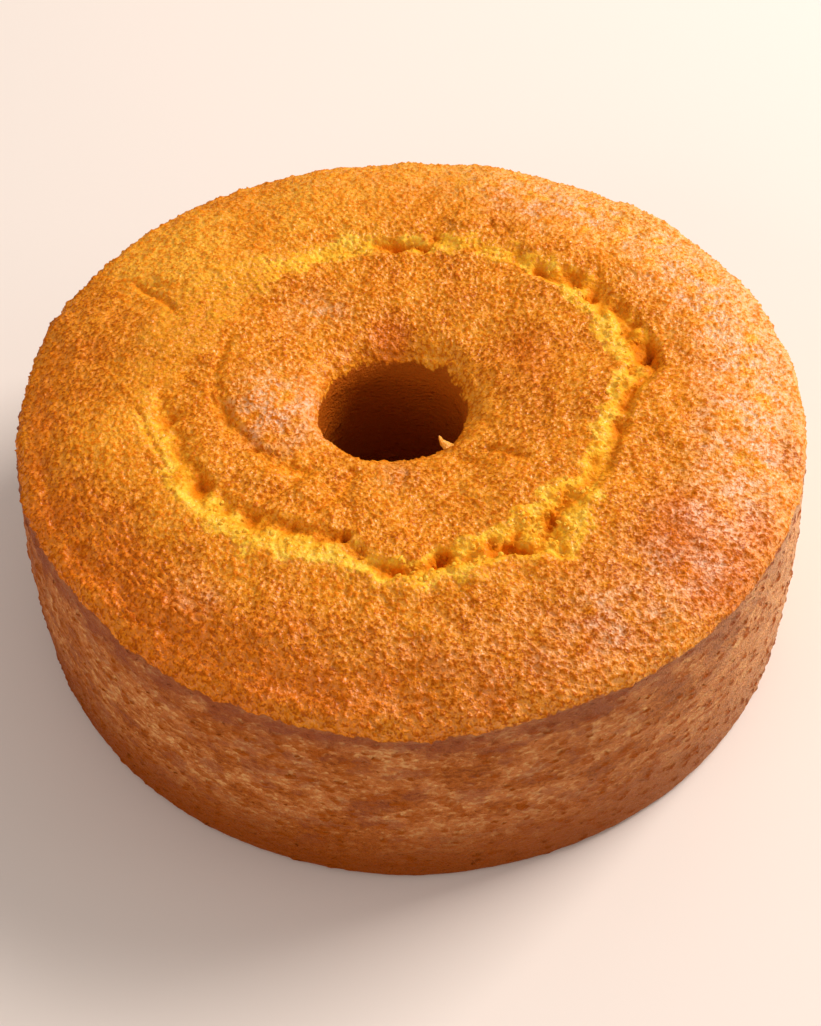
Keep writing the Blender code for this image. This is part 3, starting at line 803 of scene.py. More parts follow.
def add(tree, kind, settings, inputs):
    """Adds a node, sets its properties, and fills or links its inputs. A number given to a
    vector input counts for all three directions."""
    node = tree.nodes.new(kind)
    for name, value in settings.items():
        setattr(node, name, value)
    for key, value in inputs.items():
        socket = node.inputs[key]
        if isinstance(value, bpy.types.NodeSocket):
            tree.links.new(value, socket)
        elif socket.type == "VECTOR" and isinstance(value, (int, float)):
            socket.default_value = (value, value, value)
        else:
            socket.default_value = value
    return node.outputs


def math_node(tree, operation, *values):
    """The result of one sum on numbers or sockets."""
    return add(tree, "ShaderNodeMath", {"operation": operation}, dict(enumerate(values)))[0]


def vector_node(tree, operation, *values):
    """The result of one sum on directions, of which some may be a single number."""
    inputs = dict(enumerate(values))
    return add(tree, "ShaderNodeVectorMath", {"operation": operation}, inputs)[0]


def ramp(tree, value, low, high, start=0, end=1):
    """A value brought from the range low to high, to start to end, with an even S."""
    settings = {"interpolation_type": "SMOOTHSTEP"}
    inputs = {"Value": value, "From Min": low, "From Max": high, "To Min": start, "To Max": end}
    return add(tree, "ShaderNodeMapRange", settings, inputs)[0]


def noise_node(tree, place, detail):
    """Noise of a size of 1: a number, and a colour that serves as a direction."""
    inputs = {"Vector": place, "Scale": 1, "Detail": detail}
    return add(tree, "ShaderNodeTexNoise", {}, inputs)


def grain_noise(tree, place, size, detail=2):
    """Noise of a grain size, about 0.5 in the middle."""
    return noise_node(tree, vector_node(tree, "DIVIDE", place, size), detail)[0]


def lumps(tree, place, size, detail, start=0, end=1):
    """Noise of a grain size, brought to run from start to end."""
    return ramp(tree, grain_noise(tree, place, size, detail), *NOISE_SPAN, start, end)


def cells(tree, place, spacing):
    """Random cells of a spacing: how far each point is from its cell's middle, and a
    number between 0 and 1 that each cell keeps."""
    steps = vector_node(tree, "DIVIDE", place, spacing)
    node = add(tree, "ShaderNodeTexVoronoi", {}, {"Vector": steps, "Scale": 1})
    return node["Distance"], node["Color"]


def holes(tree, place, spacing, widths, floor):
    """Open holes of uneven width, one to a cell, whose floor takes up a share of them:
    1 on the floor and 0 outside."""
    distance, chance = cells(tree, place, spacing)
    width = ramp(tree, chance, *widths)
    return ramp(tree, distance, math_node(tree, "MULTIPLY", width, floor), width, 1, 0)


def level(tree, *parts):
    """The sum of patterns, each taken from its middle and times its share."""
    total = 0
    for pattern, middle, share in parts:
        part = math_node(tree, "SUBTRACT", pattern, middle)
        total = math_node(tree, "MULTIPLY_ADD", part, share, total)
    return total


def strayed(tree, place, size, reach):
    """A place pushed about by noise of a size, so that patterns read there lose their
    evenness."""
    push = noise_node(tree, vector_node(tree, "MULTIPLY", place, 1 / size), 1)[1]
    return vector_node(tree, "MULTIPLY_ADD", push, reach, place)


def crust_pattern(tree, rest, size):
    """The baked crust's grain and its open pores, each from 0 to 1, and its height."""
    bent = strayed(tree, rest, *GRAIN_STRAY)
    distance, _ = cells(tree, bent, size["grain_size"])
    granule = ramp(tree, distance, *GRANULE_FALL, 1, 0)
    grain = level(tree, (granule, 0, 0.65), (lumps(tree, rest, FINE_GRAIN, 0), 0, 0.35))
    pore = holes(tree, bent, size["pore_spacing"], *PORES)
    lump = lumps(tree, rest, size["lump_size"], 1)
    height = level(
        tree, (grain, 0.5, size["grain_depth"]), (lump, 0.5, size["lump_depth"]),
        (math_node(tree, "MULTIPLY", pore, -1), 0, size["pore_depth"]),
    )
    return {"grain": grain, "pore": pore}, height


def tear_pattern(tree, rest, size):
    """The torn crumb's soft lumps and the gaps between them, each from 0 to 1, and its
    height. It keeps some of the crust's grain."""
    bent = strayed(tree, rest, *TEAR_STRAY)
    clump = lumps(tree, bent, size["tear_size"], 2)
    distance, _ = cells(tree, bent, size["grain_size"])
    grit = ramp(tree, distance, *GRIT_FALL, 1, 0)
    lump = level(tree, (clump, 0, 0.6), (grit, 0, 0.4))
    gap = holes(tree, bent, size["tear_size"], *GAPS)
    height = level(
        tree, (clump, 0.5, size["tear_depth"]), (grit, 0.5, size["grain_depth"]),
        (math_node(tree, "MULTIPLY", gap, -0.6), 0, size["tear_depth"]),
    )
    return {"lump": lump, "gap": gap}, height


def film_pattern(tree, rest, size):
    """The pan-side film's torn pits and its fine mottle, each from 0 to 1, and its height."""
    flat = vector_node(tree, "MULTIPLY", strayed(tree, rest, *FILM_STRAY), LYING)
    pit = holes(tree, flat, size["pit_spacing"], *PITS)
    mottle = lumps(tree, flat, size["mottle_size"], 2)
    height = level(
        tree, (mottle, 0.5, math_node(tree, "MULTIPLY", size["pit_depth"], 0.7)),
        (math_node(tree, "MULTIPLY", pit, -1), 0, size["pit_depth"]),
    )
    return {"pit": pit, "mottle": mottle}, height


def socket_name(setting):
    """A setting's name as a tree's input shows it."""
    return setting.replace("_", " ").title()


def mesh_tree(name, settings):
    """A new Geometry Nodes tree for a mesh, with its material and settings as inputs, and
    the node that gives them."""
    tree = bpy.data.node_groups.new(name, "GeometryNodeTree")
    tree.interface.new_socket("Geometry", in_out="OUTPUT", socket_type="NodeSocketGeometry")
    kinds = {"Geometry": "NodeSocketGeometry", "Material": "NodeSocketMaterial"}
    kinds.update({socket_name(setting): "NodeSocketFloat" for setting in settings})
    for title, kind in kinds.items():
        tree.interface.new_socket(title, in_out="INPUT", socket_type=kind)
    return tree, add(tree, "NodeGroupInput", {}, {})


def read(tree, name, kind="FLOAT"):
    """What the surface keeps under a name, read by a Geometry Nodes tree."""
    settings = {"data_type": kind}
    return add(tree, "GeometryNodeInputNamedAttribute", settings, {"Name": name})["Attribute"]


def stored(tree, geometry, name, value, kind="FLOAT"):
    """A geometry that keeps a value for each point under a name."""
    inputs = {"Geometry": geometry, "Name": name, "Value": value}
    return add(tree, "GeometryNodeStoreNamedAttribute", {"data_type": kind}, inputs)[0]


def shifted(tree, geometry, offset):
    """A geometry with each of its points moved."""
    return add(tree, "GeometryNodeSetPosition", {}, {"Geometry": geometry, "Offset": offset})[0]


def finish_tree(tree, geometry, material):
    """Ends a tree: the geometry is made plain, gets its material and goes out."""
    plain = add(tree, "GeometryNodeRealizeInstances", {}, {"Geometry": geometry})[0]
    inputs = {"Geometry": plain, "Material": material}
    finished = add(tree, "GeometryNodeSetMaterial", {}, inputs)[0]
    add(tree, "NodeGroupOutput", {}, {"Geometry": finished})


def relief_tree():
    """The tree that gives the smooth crust its grain, pores, torn crumb and pits: it moves
    each point along its own outward direction, so pieces still meet on shared rows."""
    tree, entry = mesh_tree("crust_relief", RELIEF_SIZES)
    size = {name: entry[socket_name(name)] for name in RELIEF_SIZES}
    rest = read(tree, "rest", "FLOAT_VECTOR")
    crust_marks, crust = crust_pattern(tree, rest, size)
    tear_marks, tear = tear_pattern(tree, rest, size)
    geometry = entry["Geometry"]
    for name, pattern in (crust_marks | tear_marks).items():
        geometry = stored(tree, geometry, name, pattern)
    height = crust
    for mask, other in (("torn", tear), ("film", film_pattern(tree, rest, size)[1])):
        inputs = {"Factor": read(tree, mask), "A": height, "B": other}
        height = add(tree, "ShaderNodeMix", {}, inputs)[0]
    height = math_node(tree, "MULTIPLY", height, read(tree, "relief"))
    offset = vector_node(tree, "MULTIPLY", read(tree, "outward", "FLOAT_VECTOR"), height)
    finish_tree(tree, shifted(tree, geometry, offset), entry["Material"])
    return tree


def random_vector(tree, low, high, seed):
    """Three numbers, each between two, by chance."""
    inputs = {"Min": low, "Max": high, "Seed": seed}
    return add(tree, "FunctionNodeRandomValue", {"data_type": "FLOAT_VECTOR"}, inputs)["Value"]


def scatter_tree():
    """The tree that strews loose crumbs where the sponge is torn: lumpy little grains, each
    turned its own way and half sunk into the crumb below."""
    tree, entry = mesh_tree("loose_crumbs", CRUMB_SIZES)
    density = math_node(tree, "MULTIPLY", read(tree, "torn"), entry["Crumbs Per Area"])
    points = add(
        tree, "GeometryNodeDistributePointsOnFaces", {},
        {"Mesh": entry["Geometry"], "Density": density, "Seed": CRUMB_SEED},
    )["Points"]
    ball = add(tree, "GeometryNodeMeshIcoSphere", {}, {"Radius": 0.5, "Subdivisions": 2})["Mesh"]
    size = add(
        tree, "FunctionNodeRandomValue", {"data_type": "FLOAT"},
        {2: entry["Smallest Crumb"], 3: entry["Largest Crumb"], "Seed": 1},
    )[1]
    scale = vector_node(tree, "MULTIPLY", random_vector(tree, *CRUMB_STRETCH, 2), size)
    spin = random_vector(tree, *CRUMB_TURN, 0)
    crumbs = add(
        tree, "GeometryNodeInstanceOnPoints", {},
        {"Points": points, "Instance": ball, "Rotation": spin, "Scale": scale},
    )[0]
    plain = add(tree, "GeometryNodeRealizeInstances", {}, {"Geometry": crumbs})[0]
    place = add(tree, "GeometryNodeInputPosition", {}, {})[0]
    grain, reach = CRUMB_LUMPINESS
    push = noise_node(tree, vector_node(tree, "MULTIPLY", place, 1 / grain), 1)[1]
    push = vector_node(tree, "MULTIPLY", vector_node(tree, "SUBTRACT", push, 0.5), reach)
    pale = lumps(tree, place, CRUMB_TONE, 1, 0.4, 1)
    geometry = stored(tree, shifted(tree, plain, push), "rest", place, "FLOAT_VECTOR")
    finish_tree(tree, stored(tree, geometry, "lump", pale), entry["Material"])
    return tree


# ------ finishes

# Grain sizes of the noises that only the shaders have, and the depth of the finest
CRUST_SPECK = 0.7 * MM
CRUMB_SPECK = 0.9 * MM
STUCK_SIZE = 3 * MM
BLOTCH_SIZE = 7 * MM
MAUVE_SIZE = 5 * MM
FILM_SPECK = 0.7 * MM
TOOTH_SIZE = 0.6 * MM
TOOTH_DEPTH = 0.4 * MM

# Where one finish takes over from another: how much the grain breaks up the edge, and
# the part of the mask over which it runs
EDGE_BY_GRAIN = -0.5
EDGE_SPAN = (0.27, 0.65)

# What the tips' shine is made of, the range it is brought from and to, the roughness of
# the tooth's hollows and tips, and the strength of the fine relief
SHINE = {"grain": 0.6, "film": -0.9, "pore": -0.6, "dry": 0.2, "deep": -0.7}
SHINE_OF_TOOTH = 1.2
SHINE_RANGE = (0, 0.7, 0.05, 0.9)
ROUGHNESS = (0.6, 0.38)
BUMP_STRENGTH = 0.9

# How much light spreads under the surface, how far, and how much more of it is red
SPREAD = 0.1
SPREAD_REACH = 1.2 * MM
SPREAD_BY_COLOUR = (1, 0.4, 0.1)


def linear(code):
    """An sRGB hex colour as linear red, green, blue and alpha."""
    parts = [int(code[i : i + 2], 16) / 255 for i in (1, 3, 5)]
    curved = [p / 12.92 if p <= 0.04045 else ((p + 0.055) / 1.055) ** 2.4 for p in parts]
    return (*curved, 1)


def mixed(tree, factor, a, b):
    """Two colours mixed by a factor."""
    settings = {"data_type": "RGBA"}
    return add(tree, "ShaderNodeMix", settings, {0: factor, 6: a, 7: b})[2]


def coated(tree, look, colour, *coats):
    """A colour under others of the look. Each shows where its pattern, brought from one
    range to another, says so."""
    for name, pattern, *ranges in coats:
        colour = mixed(tree, ramp(tree, pattern, *ranges), colour, getattr(look, name)[:])
    return colour


def shader_mask(tree, name):
    """A mask of the surface, read by a shader."""
    return add(tree, "ShaderNodeAttribute", {"attribute_name": name}, {})["Fac"]


def crust_finish(tree, rest, look):
    """Oven-browned crust: orange-brown in the pores, golden between them, and paler on the
    tips where the crust is dry or a painted sheen lies on what faces the light. The pores
    and low grain are darker, partly by painted shade. It is browner in soft patches and
    towards two sides of the rim, partly painted shade on the side turned from the light,
    and orange where it dips into the split, which is painted shade in the hollows."""
    names = ("grain", "pore", "browning", "deep", "dry")
    grain, pore, brown, deep, dry = (shader_mask(tree, name) for name in names)
    speck = grain_noise(tree, rest, CRUST_SPECK, 1)
    tip = level(tree, (grain, 0, 1), (speck, 0.5, 1.1))
    colour = coated(
        tree, look, look.crust_pale[:],
        ("crust_body", brown, -0.5, 0.35),
        ("crust_tip", tip, 0.45, 1),
        ("crust_deep", brown, 0.25, 1.2, 0, 0.8),
        ("crust_brown", brown, 1.15, 1.8, 0, 0.7),
    )
    # Painted shade in the grain's low parts and pores, besides the pores' own darker colour
    low = ramp(tree, tip, 0, 0.5, 0.88, 0)
    cavity_shade = math_node(tree, "MAXIMUM", low, math_node(tree, "MULTIPLY", pore, 0.85))
    inside = coated(tree, look, look.crust_hollow[:], ("crust_pore", brown, 0, 0.7))
    # Painted shade in the split's hollows: orange, and darkest brown in the deepest
    colour = coated(
        tree, look, mixed(tree, cavity_shade, colour, inside),
        ("crumb_hollow_shade", deep, 0.2, 1, 0, 0.6),
        ("crust_hollow", deep, 0.8, 1.4, 0, 0.7),
        ("crust_pore", deep, 1.15, 1.55),
    )
    # The pale colour on the open tips is partly dry crust and partly painted sheen
    open_air = level(tree, (1, 0, 1), (pore, 0, -1.2), (deep, 0.1, -1.5))
    lit = math_node(tree, "MULTIPLY", ramp(tree, tip, 0, 0.8), ramp(tree, open_air, 0, 0.9))
    return mixed(tree, math_node(tree, "MULTIPLY", dry, lit), colour, look.crust_dry_and_sheen[:]), 0


def crumb_finish(tree, rest, look):
    """Torn sponge: bright yellow crumb, with painted shade, orange and darker, where it lies
    deep and between its grains.
    """
    lump, gap, deep = (shader_mask(tree, name) for name in ("lump", "gap", "deep"))
    speck = grain_noise(tree, rest, CRUMB_SPECK)
    pale = level(tree, (lump, 0, 1), (speck, 0.5, 1), (deep, 0, -0.3))
    # Painted shade in the gaps between the lumps and in the hollows
    cavity_shade = level(tree, (gap, 0, 0.4), (deep, 0.2, 1.5))
    return coated(
        tree, look, look.crumb_deep[:],
        ("crumb_body", pale, -0.1, 0.4),
        ("crumb_tip", pale, 0.35, 0.85),
        ("crumb_hollow_shade", cavity_shade, 0, 1),
        ("crust_hollow", deep, 1.2, 1.8, 0, 0.8),
    ), 0


def film_finish(tree, rest, look):
    """Pan-baked film: tan skin with a fine mottle, orange where it stuck and tore, a
    mauve-brown line under the rim, a browner foot, pale where it is dry or a painted light
    lies on the side facing the lamps, and painted shade in the hole. Its marks lie along
    the rim."""
    drop, dry, inside = (shader_mask(tree, name) for name in ("drop", "dry", "inside"))
    sizes = {name: getattr(look, name) for name in RELIEF_SIZES}
    marks, height = film_pattern(tree, rest, sizes)
    flat = vector_node(tree, "MULTIPLY", rest, LYING)
    turned = vector_node(tree, "MULTIPLY", flat, (-1, 1, 1))
    stuck = ramp(tree, grain_noise(tree, flat, STUCK_SIZE, 3), 0.54, 0.64)
    blotch = grain_noise(tree, flat, BLOTCH_SIZE)
    mauve = grain_noise(tree, turned, MAUVE_SIZE, 3)
    speck = grain_noise(tree, flat, FILM_SPECK)
    pale = level(tree, (marks["mottle"], 0.5, 1), (speck, 0.5, 1.6), (blotch, 0.5, 1.8))
    torn = level(tree, (marks["pit"], 0, 0.9), (stuck, 0, 0.6))
    below = level(tree, (drop, 0, 1), (blotch, 0.5, 0.02))
    colour = coated(
        tree, look, look.film_warm[:],
        ("film_body", blotch, 0.36, 0.62),
        ("film_tip", pale, 0, 1.1),
        ("film_low", pale, -1, 0, 0.9, 0),
        ("film_line", mauve, 0.5, 0.62, 0, 0.4),
        ("film_pit", torn, 0.1, 0.8, 0, 0.9),
        ("film_line", below, 1 * MM, 10 * MM, 0.58, 0),
        ("film_foot", below, 34 * MM, 66 * MM, 0, 0.95),
    )
    bare = level(tree, (1, 0, 0.8), (torn, 0, -0.8))
    # Pale colour of dry film and painted light on the side that faces the lamps
    colour = mixed(tree, math_node(tree, "MULTIPLY", dry, bare), colour, look.film_dry_and_sheen[:])
    # Painted shade: the hole's wall is darker
    return mixed(tree, inside, colour, look.hole_wall_shade[:]), height


def sponge_material(name, look, finish, over=None, mask=""):
    """A dry, slightly greasy and translucent baked surface whose tips shine and whose
    hollows don't. Another finish may lie over the first one where a mask says, with an
    edge that follows the grain."""
    material = bpy.data.materials.new(name)
    material.use_nodes = True
    tree = material.node_tree
    shader = tree.nodes["Principled BSDF"]
    rest = add(tree, "ShaderNodeAttribute", {"attribute_name": "rest"}, {})["Vector"]
    marks = {name: shader_mask(tree, name) for name in SHINE}
    colour, height = finish(tree, rest, look)
    if over:
        edge = (marks["grain"], 0.5, EDGE_BY_GRAIN)
        share = ramp(tree, level(tree, (shader_mask(tree, mask), 0, 1), edge), *EDGE_SPAN)
        layer, relief = over(tree, rest, look)
        colour = mixed(tree, share, colour, layer)
        height = math_node(tree, "MULTIPLY_ADD", relief, share, height)
    tooth = grain_noise(tree, rest, TOOTH_SIZE, 1)
    height = level(tree, (height, 0, 1), (tooth, 0.5, TOOTH_DEPTH))
    shares = [(marks[name], 0, share) for name, share in SHINE.items()]
    shine = level(tree, *shares, (tooth, 0.5, SHINE_OF_TOOTH))
    bump = {"Height": height, "Strength": BUMP_STRENGTH, "Distance": 1}
    linked = {
        "Base Color": colour,
        "Specular IOR Level": ramp(tree, shine, *SHINE_RANGE),
        "Roughness": ramp(tree, tooth, *NOISE_SPAN, *ROUGHNESS),
        "Normal": add(tree, "ShaderNodeBump", {}, bump)[0],
    }
    for socket, value in linked.items():
        tree.links.new(value, shader.inputs[socket])
    shader.inputs["Subsurface Weight"].default_value = SPREAD
    shader.inputs["Subsurface Radius"].default_value = SPREAD_BY_COLOUR
    shader.inputs["Subsurface Scale"].default_value = SPREAD_REACH
    return material


# ------ settings


def length(name, description, default):
    """A length setting, in metres."""
    return bpy.props.FloatProperty(
        name=name, description=description, default=default, min=0.0, precision=5,
        unit="LENGTH", subtype="DISTANCE",
    )


def power(name, description, default):
    """A lamp's power setting, in watts."""
    return bpy.props.FloatProperty(
        name=name, description=description, default=default, unit="POWER"
    )


def tint(name, description, code):
    """A colour setting."""
    return bpy.props.FloatVectorProperty(
        name=name, description=description, default=linear(code), size=4, min=0.0, max=1.0,
        subtype="COLOR",
    )


class CakeSizes(bpy.types.PropertyGroup):
    """Sizes of the whole cake."""

    rim_radius: length("Rim radius", "Radius of the crust's edge", 120 * MM)
    rim_height: length("Rim height", "Height of the crust's edge", 73.4 * MM)
    dome_height: length("Dome height", "Height of the dome between rim and hole", 83.4 * MM)
    lip_height: length("Lip height", "Height of the crust round the hole", 77.4 * MM)
    hole_radius: length("Hole radius", "Radius of the hole at its top", 21.8 * MM)


class CrustLook(bpy.types.PropertyGroup):
    """Relief and colours of the crust, the torn crumb and the pan side."""

    grain_size: length("Grain size", "Width of the crust's grains", 1.45 * MM)
    grain_depth: length("Grain depth", "Height of the crust's grains", 0.7 * MM)
    pore_spacing: length("Pore spacing", "Distance between open pores", 1.9 * MM)
    pore_depth: length("Pore depth", "Depth of the open pores", 0.5 * MM)
    lump_size: length("Lump size", "Width of the crust's soft lumps", 7 * MM)
    lump_depth: length("Lump depth", "Height of the crust's soft lumps", 0.7 * MM)
    tear_size: length("Tear size", "Width of the torn crumb's clumps", 4.6 * MM)
    tear_depth: length("Tear depth", "Depth between the clumps", 1.4 * MM)
    pit_spacing: length("Pit spacing", "Distance between the side's pits", 2.4 * MM)
    mottle_size: length("Mottle size", "Width of the side's fine mottle", 1.3 * MM)
    pit_depth: length("Pit depth", "Depth of the side's pits", 0.6 * MM)
    crumbs_per_area: bpy.props.FloatProperty(
        name="Crumbs per area", description="Loose crumbs on a square metre", default=90000.0
    )
    smallest_crumb: length("Smallest crumb", "Width of the smallest loose crumbs", 0.8 * MM)
    largest_crumb: length("Largest crumb", "Width of the largest loose crumbs", 2.0 * MM)
    # The golden, darker and brownest crust follow how brown the crust is, which is partly painted
    # shade on the side turned from the light
    crust_body: tint("Crust", "Golden crust", "#ea951c")
    crust_pale: tint("Pale crust", "Least baked crust", "#f6b434")
    crust_deep: tint("Deep crust", "Darker patches of the crust", "#e0720e")
    crust_brown: tint("Brownest crust", "Crust baked darkest, on the right of the rim", "#a8602c")
    crust_tip: tint("Crust tips", "Driest tips of the grain", "#f8a838")
    # Pale colour of dry crust and of painted sheen
    crust_dry_and_sheen: tint("Dry crust", "Pinkish dry spots of the crust", "#e7b18a")
    # Pores of the least baked crust, partly their own colour and partly painted shade, and painted
    # shade in the split's hollows
    crust_hollow: tint("Pale pores", "Inside the pores of the least baked crust", "#da700b")
    # Pores, partly their own colour and partly painted shade, and painted shade in the deepest
    # hollows
    crust_pore: tint("Crust pores", "Inside the open pores", "#a64a02")
    crumb_body: tint("Crumb", "Torn yellow crumb", "#f4b02a")
    crumb_tip: tint("Crumb tips", "Brightest crumb", "#fccc4a")
    # Painted shade: the crumb's colour between its lumps and in its hollows
    crumb_deep: tint("Deep crumb", "Between the torn crumb's lumps", "#e28810")
    # Painted shade in the hollows of the crumb and of the crust
    crumb_hollow_shade: tint("Hollows", "Inside the torn crumb's hollows", "#dc7c0a")
    film_body: tint("Side", "Pan-baked side", "#be7039")
    film_tip: tint("Side highlights", "Palest film of the side", "#d8a064")
    # Pale colour of dry film and of painted light on the side that faces the lamps
    film_dry_and_sheen: tint("Dry side", "Side where it is driest", "#fccb96")
    film_pit: tint("Side pits", "Inside the side's pits", "#a04c06")
    film_warm: tint("Side patches", "Orange patches of the side", "#ac5c20")
    film_low: tint("Side shadows", "Browner grains of the side", "#843e0e")
    film_line: tint("Side line", "Mauve-brown line under the rim, and blotches", "#8a4a34")
    film_foot: tint("Side foot", "Browner foot of the side", "#8e4002")
    # Painted shade: the dark colour of the hole's wall
    hole_wall_shade: tint("Hole wall", "Wall of the hole", "#a8520e")


class StageLook(bpy.types.PropertyGroup):
    """Floor and light."""

    floor_colour: tint("Floor", "Plain pale floor", "#e9e1dc")
    key_power: power("Key light", "Strength of the window-like light", 66.5)
    side_power: power("Side light", "Strength of the low light from the right", 5.5)
    fill_power: power("Fill light", "Strength of the soft light from the front", 14.5)
    sky_strength: bpy.props.FloatProperty(
        name="Sky", description="Strength of the even light all round", default=0.47
    )


# ------ operators

# The camera stands in front of the cake and looks down on it
CAMERA_PLACE = Vector((-0.0011, -0.4078, 0.4900))
CAMERA_YAW = 0.0009
CAMERA_PITCH = math.radians(48.85)
CAMERA_ROLL = math.radians(1.278)
CAMERA_LENS = 66.67
CAMERA_SENSOR = 36.0

# The soft square lamps, with their places, widths and colours, and where they aim
LAMPS = {
    "key": ((1.65, 0.95, 1.5), 1.1, "#fff4ea"),
    "side": ((1.9, -0.1, 0.42), 0.9, "#fff4ea"),
    "fill": ((-1.45, -1.5, 0.8), 1.6, "#fff1e4"),
}
LAMP_TARGET = Vector((0, 0, 0.05))
SKY_COLOUR = "#fff6ee"
FLOOR_SIZE = 6.0
FLOOR_ROUGHNESS = 0.8


def crust_piece(name, surface, tree, material):
    """One piece of the crust with its relief grown and its finish on."""
    look = bpy.context.scene.cake_look
    inputs = {socket_name(key): getattr(look, key) for key in RELIEF_SIZES}
    plain = crust_mesh(name, surface)
    mesh = grown(plain, tree, inputs | {"Material": material})
    bpy.data.meshes.remove(plain)
    mesh.name = name
    return dress(name, mesh)


class CAKE_OT_crust(bpy.types.Operator):
    """Make the baked crust: rim, shoulder, torn split, collar and the curl at the hole"""

    bl_idname = "cake.crust"
    bl_label = "Baked crust"

    def execute(self, context):
        sizes, look = context.scene.cake_sizes, context.scene.cake_look
        surface = whole_surface(sizes)
        name = "oven_browned_crust_over_yellow_crumb"
        top = sponge_material(name, look, crust_finish, crumb_finish, "yellow")
        name = "oven_browned_crust_over_pan_film"
        rim = sponge_material(name, look, crust_finish, film_finish, "film")
        tree = relief_tree()
        for name in ("collar_crust", "split_crumb", "shoulder_crust"):
            crust_piece(name, surface, tree, top)
        crust_piece("rim_crust", surface, tree, rim)
        flake = flake_mesh(sizes)
        flake.materials.append(top)
        dress("lip_flake", flake)
        return {"FINISHED"}


class CAKE_OT_crumbs(bpy.types.Operator):
    """Strew loose crumbs over the torn split"""

    bl_idname = "cake.crumbs"
    bl_label = "Loose crumbs"

    def execute(self, context):
        look = context.scene.cake_look
        ground = bpy.data.objects["split_crumb"].data.copy()
        ground.name = "crumb_ground"
        inputs = {socket_name(key): getattr(look, key) for key in CRUMB_SIZES}
        mesh = grown(ground, scatter_tree(), inputs | {"Material": ground.materials[0]})
        bpy.data.meshes.remove(ground)
        mesh.name = "loose_crumbs"
        dress("loose_crumbs", mesh)
        return {"FINISHED"}


class CAKE_OT_pan_side(bpy.types.Operator):
    """Make what the pan shaped: the outer side, the hole's wall and the underside"""

    bl_idname = "cake.pan_side"
    bl_label = "Pan-baked side"

    def execute(self, context):
        surface = whole_surface(context.scene.cake_sizes)
        look = context.scene.cake_look
        film = sponge_material("pan_baked_sponge_film", look, film_finish)
        tree = bpy.data.node_groups["crust_relief"]
        crust_piece("hole_crust", surface, tree, bpy.data.objects["rim_crust"].data.materials[0])
        for name in ("side_crust", "base_crust"):
            crust_piece(name, surface, tree, film)
        return {"FINISHED"}


def aimed(place, target):
    """A place and a direction to look in, as an object's matrix."""
    turn = (target - place).to_track_quat("-Z", "Y").to_matrix().to_4x4()
    return Matrix.Translation(place) @ turn


def make_floor(colour):
    """The plain floor under the cake."""
    mesh = bpy.data.meshes.new("floor")
    half = FLOOR_SIZE / 2
    corners = [(-half, -half, 0), (half, -half, 0), (half, half, 0), (-half, half, 0)]
    mesh.from_pydata(corners, [], [(0, 1, 2, 3)])
    paint = bpy.data.materials.new("matt_painted_board")
    paint.use_nodes = True
    shader = paint.node_tree.nodes["Principled BSDF"]
    shader.inputs["Base Color"].default_value = colour
    shader.inputs["Roughness"].default_value = FLOOR_ROUGHNESS
    mesh.materials.append(paint)
    placed("floor", mesh)


def make_camera():
    """The camera at the photographed angle."""
    data = bpy.data.cameras.new("camera")
    data.lens = CAMERA_LENS
    data.sensor_width = CAMERA_SENSOR
    camera = placed("camera", data)
    ahead = Vector((
        math.sin(CAMERA_YAW) * math.cos(CAMERA_PITCH),
        math.cos(CAMERA_YAW) * math.cos(CAMERA_PITCH),
        -math.sin(CAMERA_PITCH),
    ))
    tilt = Matrix.Rotation(CAMERA_ROLL, 4, ahead)
    camera.matrix_world = tilt @ aimed(Vector(), ahead)
    camera.location = CAMERA_PLACE
    bpy.context.scene.camera = camera


def make_lamp(name, place, size, colour, watts):
    """A soft square lamp aimed at the cake."""
    data = bpy.data.lights.new(name, "AREA")
    data.size = size
    data.energy = watts
    data.color = linear(colour)[:3]
    placed(name, data).matrix_world = aimed(Vector(place), LAMP_TARGET)


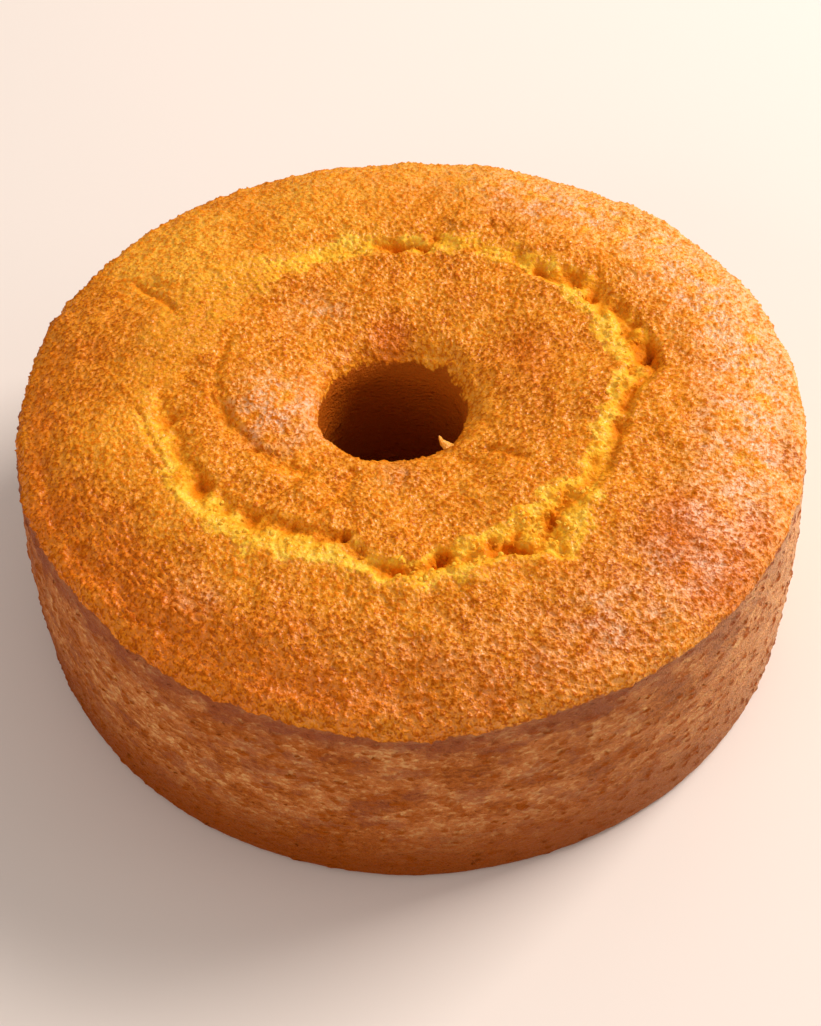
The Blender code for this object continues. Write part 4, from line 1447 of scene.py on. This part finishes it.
def make_sky(strength):
    """Even light all round, which doesn't show in what shines."""
    world = bpy.data.worlds.new("studio")
    bpy.context.scene.world = world
    world.use_nodes = True
    sky = world.node_tree.nodes["Background"]
    sky.inputs["Color"].default_value = linear(SKY_COLOUR)
    sky.inputs["Strength"].default_value = strength
    world.cycles_visibility.glossy = False


class CAKE_OT_stage(bpy.types.Operator):
    """Make the pale floor, the soft lights and the camera"""

    bl_idname = "cake.stage"
    bl_label = "Stage"

    def execute(self, context):
        look = context.scene.cake_stage
        make_floor(look.floor_colour)
        for name, lamp in LAMPS.items():
            make_lamp(name, *lamp, getattr(look, name + "_power"))
        bpy.data.objects["fill"].visible_glossy = False
        make_sky(look.sky_strength)
        context.scene.view_settings.view_transform = "Standard"
        make_camera()
        return {"FINISHED"}


class CAKE_PT_panel(bpy.types.Panel):
    """Lists the cake's operators and settings"""

    bl_label = "Ring cake"
    bl_idname = "CAKE_PT_panel"
    bl_space_type = "VIEW_3D"
    bl_region_type = "UI"
    bl_category = "Cake"

    def draw(self, context):
        for operator in OPERATORS:
            self.layout.operator(operator.bl_idname)
        for group, kind in GROUPS.items():
            box = self.layout.box()
            for name in kind.__annotations__:
                box.prop(getattr(context.scene, group), name)


OPERATORS = (CAKE_OT_crust, CAKE_OT_crumbs, CAKE_OT_pan_side, CAKE_OT_stage)
GROUPS = {"cake_sizes": CakeSizes, "cake_look": CrustLook, "cake_stage": StageLook}


def register():
    """Registers the classes and gives the scene its settings."""
    for group, kind in GROUPS.items():
        bpy.utils.register_class(kind)
        setattr(bpy.types.Scene, group, bpy.props.PointerProperty(type=kind))
    for kind in (*OPERATORS, CAKE_PT_panel):
        bpy.utils.register_class(kind)


def unregister():
    """Takes the classes and the settings away again."""
    for kind in (CAKE_PT_panel, *reversed(OPERATORS)):
        bpy.utils.unregister_class(kind)
    for group, kind in GROUPS.items():
        delattr(bpy.types.Scene, group)
        bpy.utils.unregister_class(kind)


def main():
    """Makes every piece in order."""
    register()
    bpy.ops.cake.crust()
    bpy.ops.cake.crumbs()
    bpy.ops.cake.pan_side()
    bpy.ops.cake.stage()


if __name__ == "__main__":
    main()
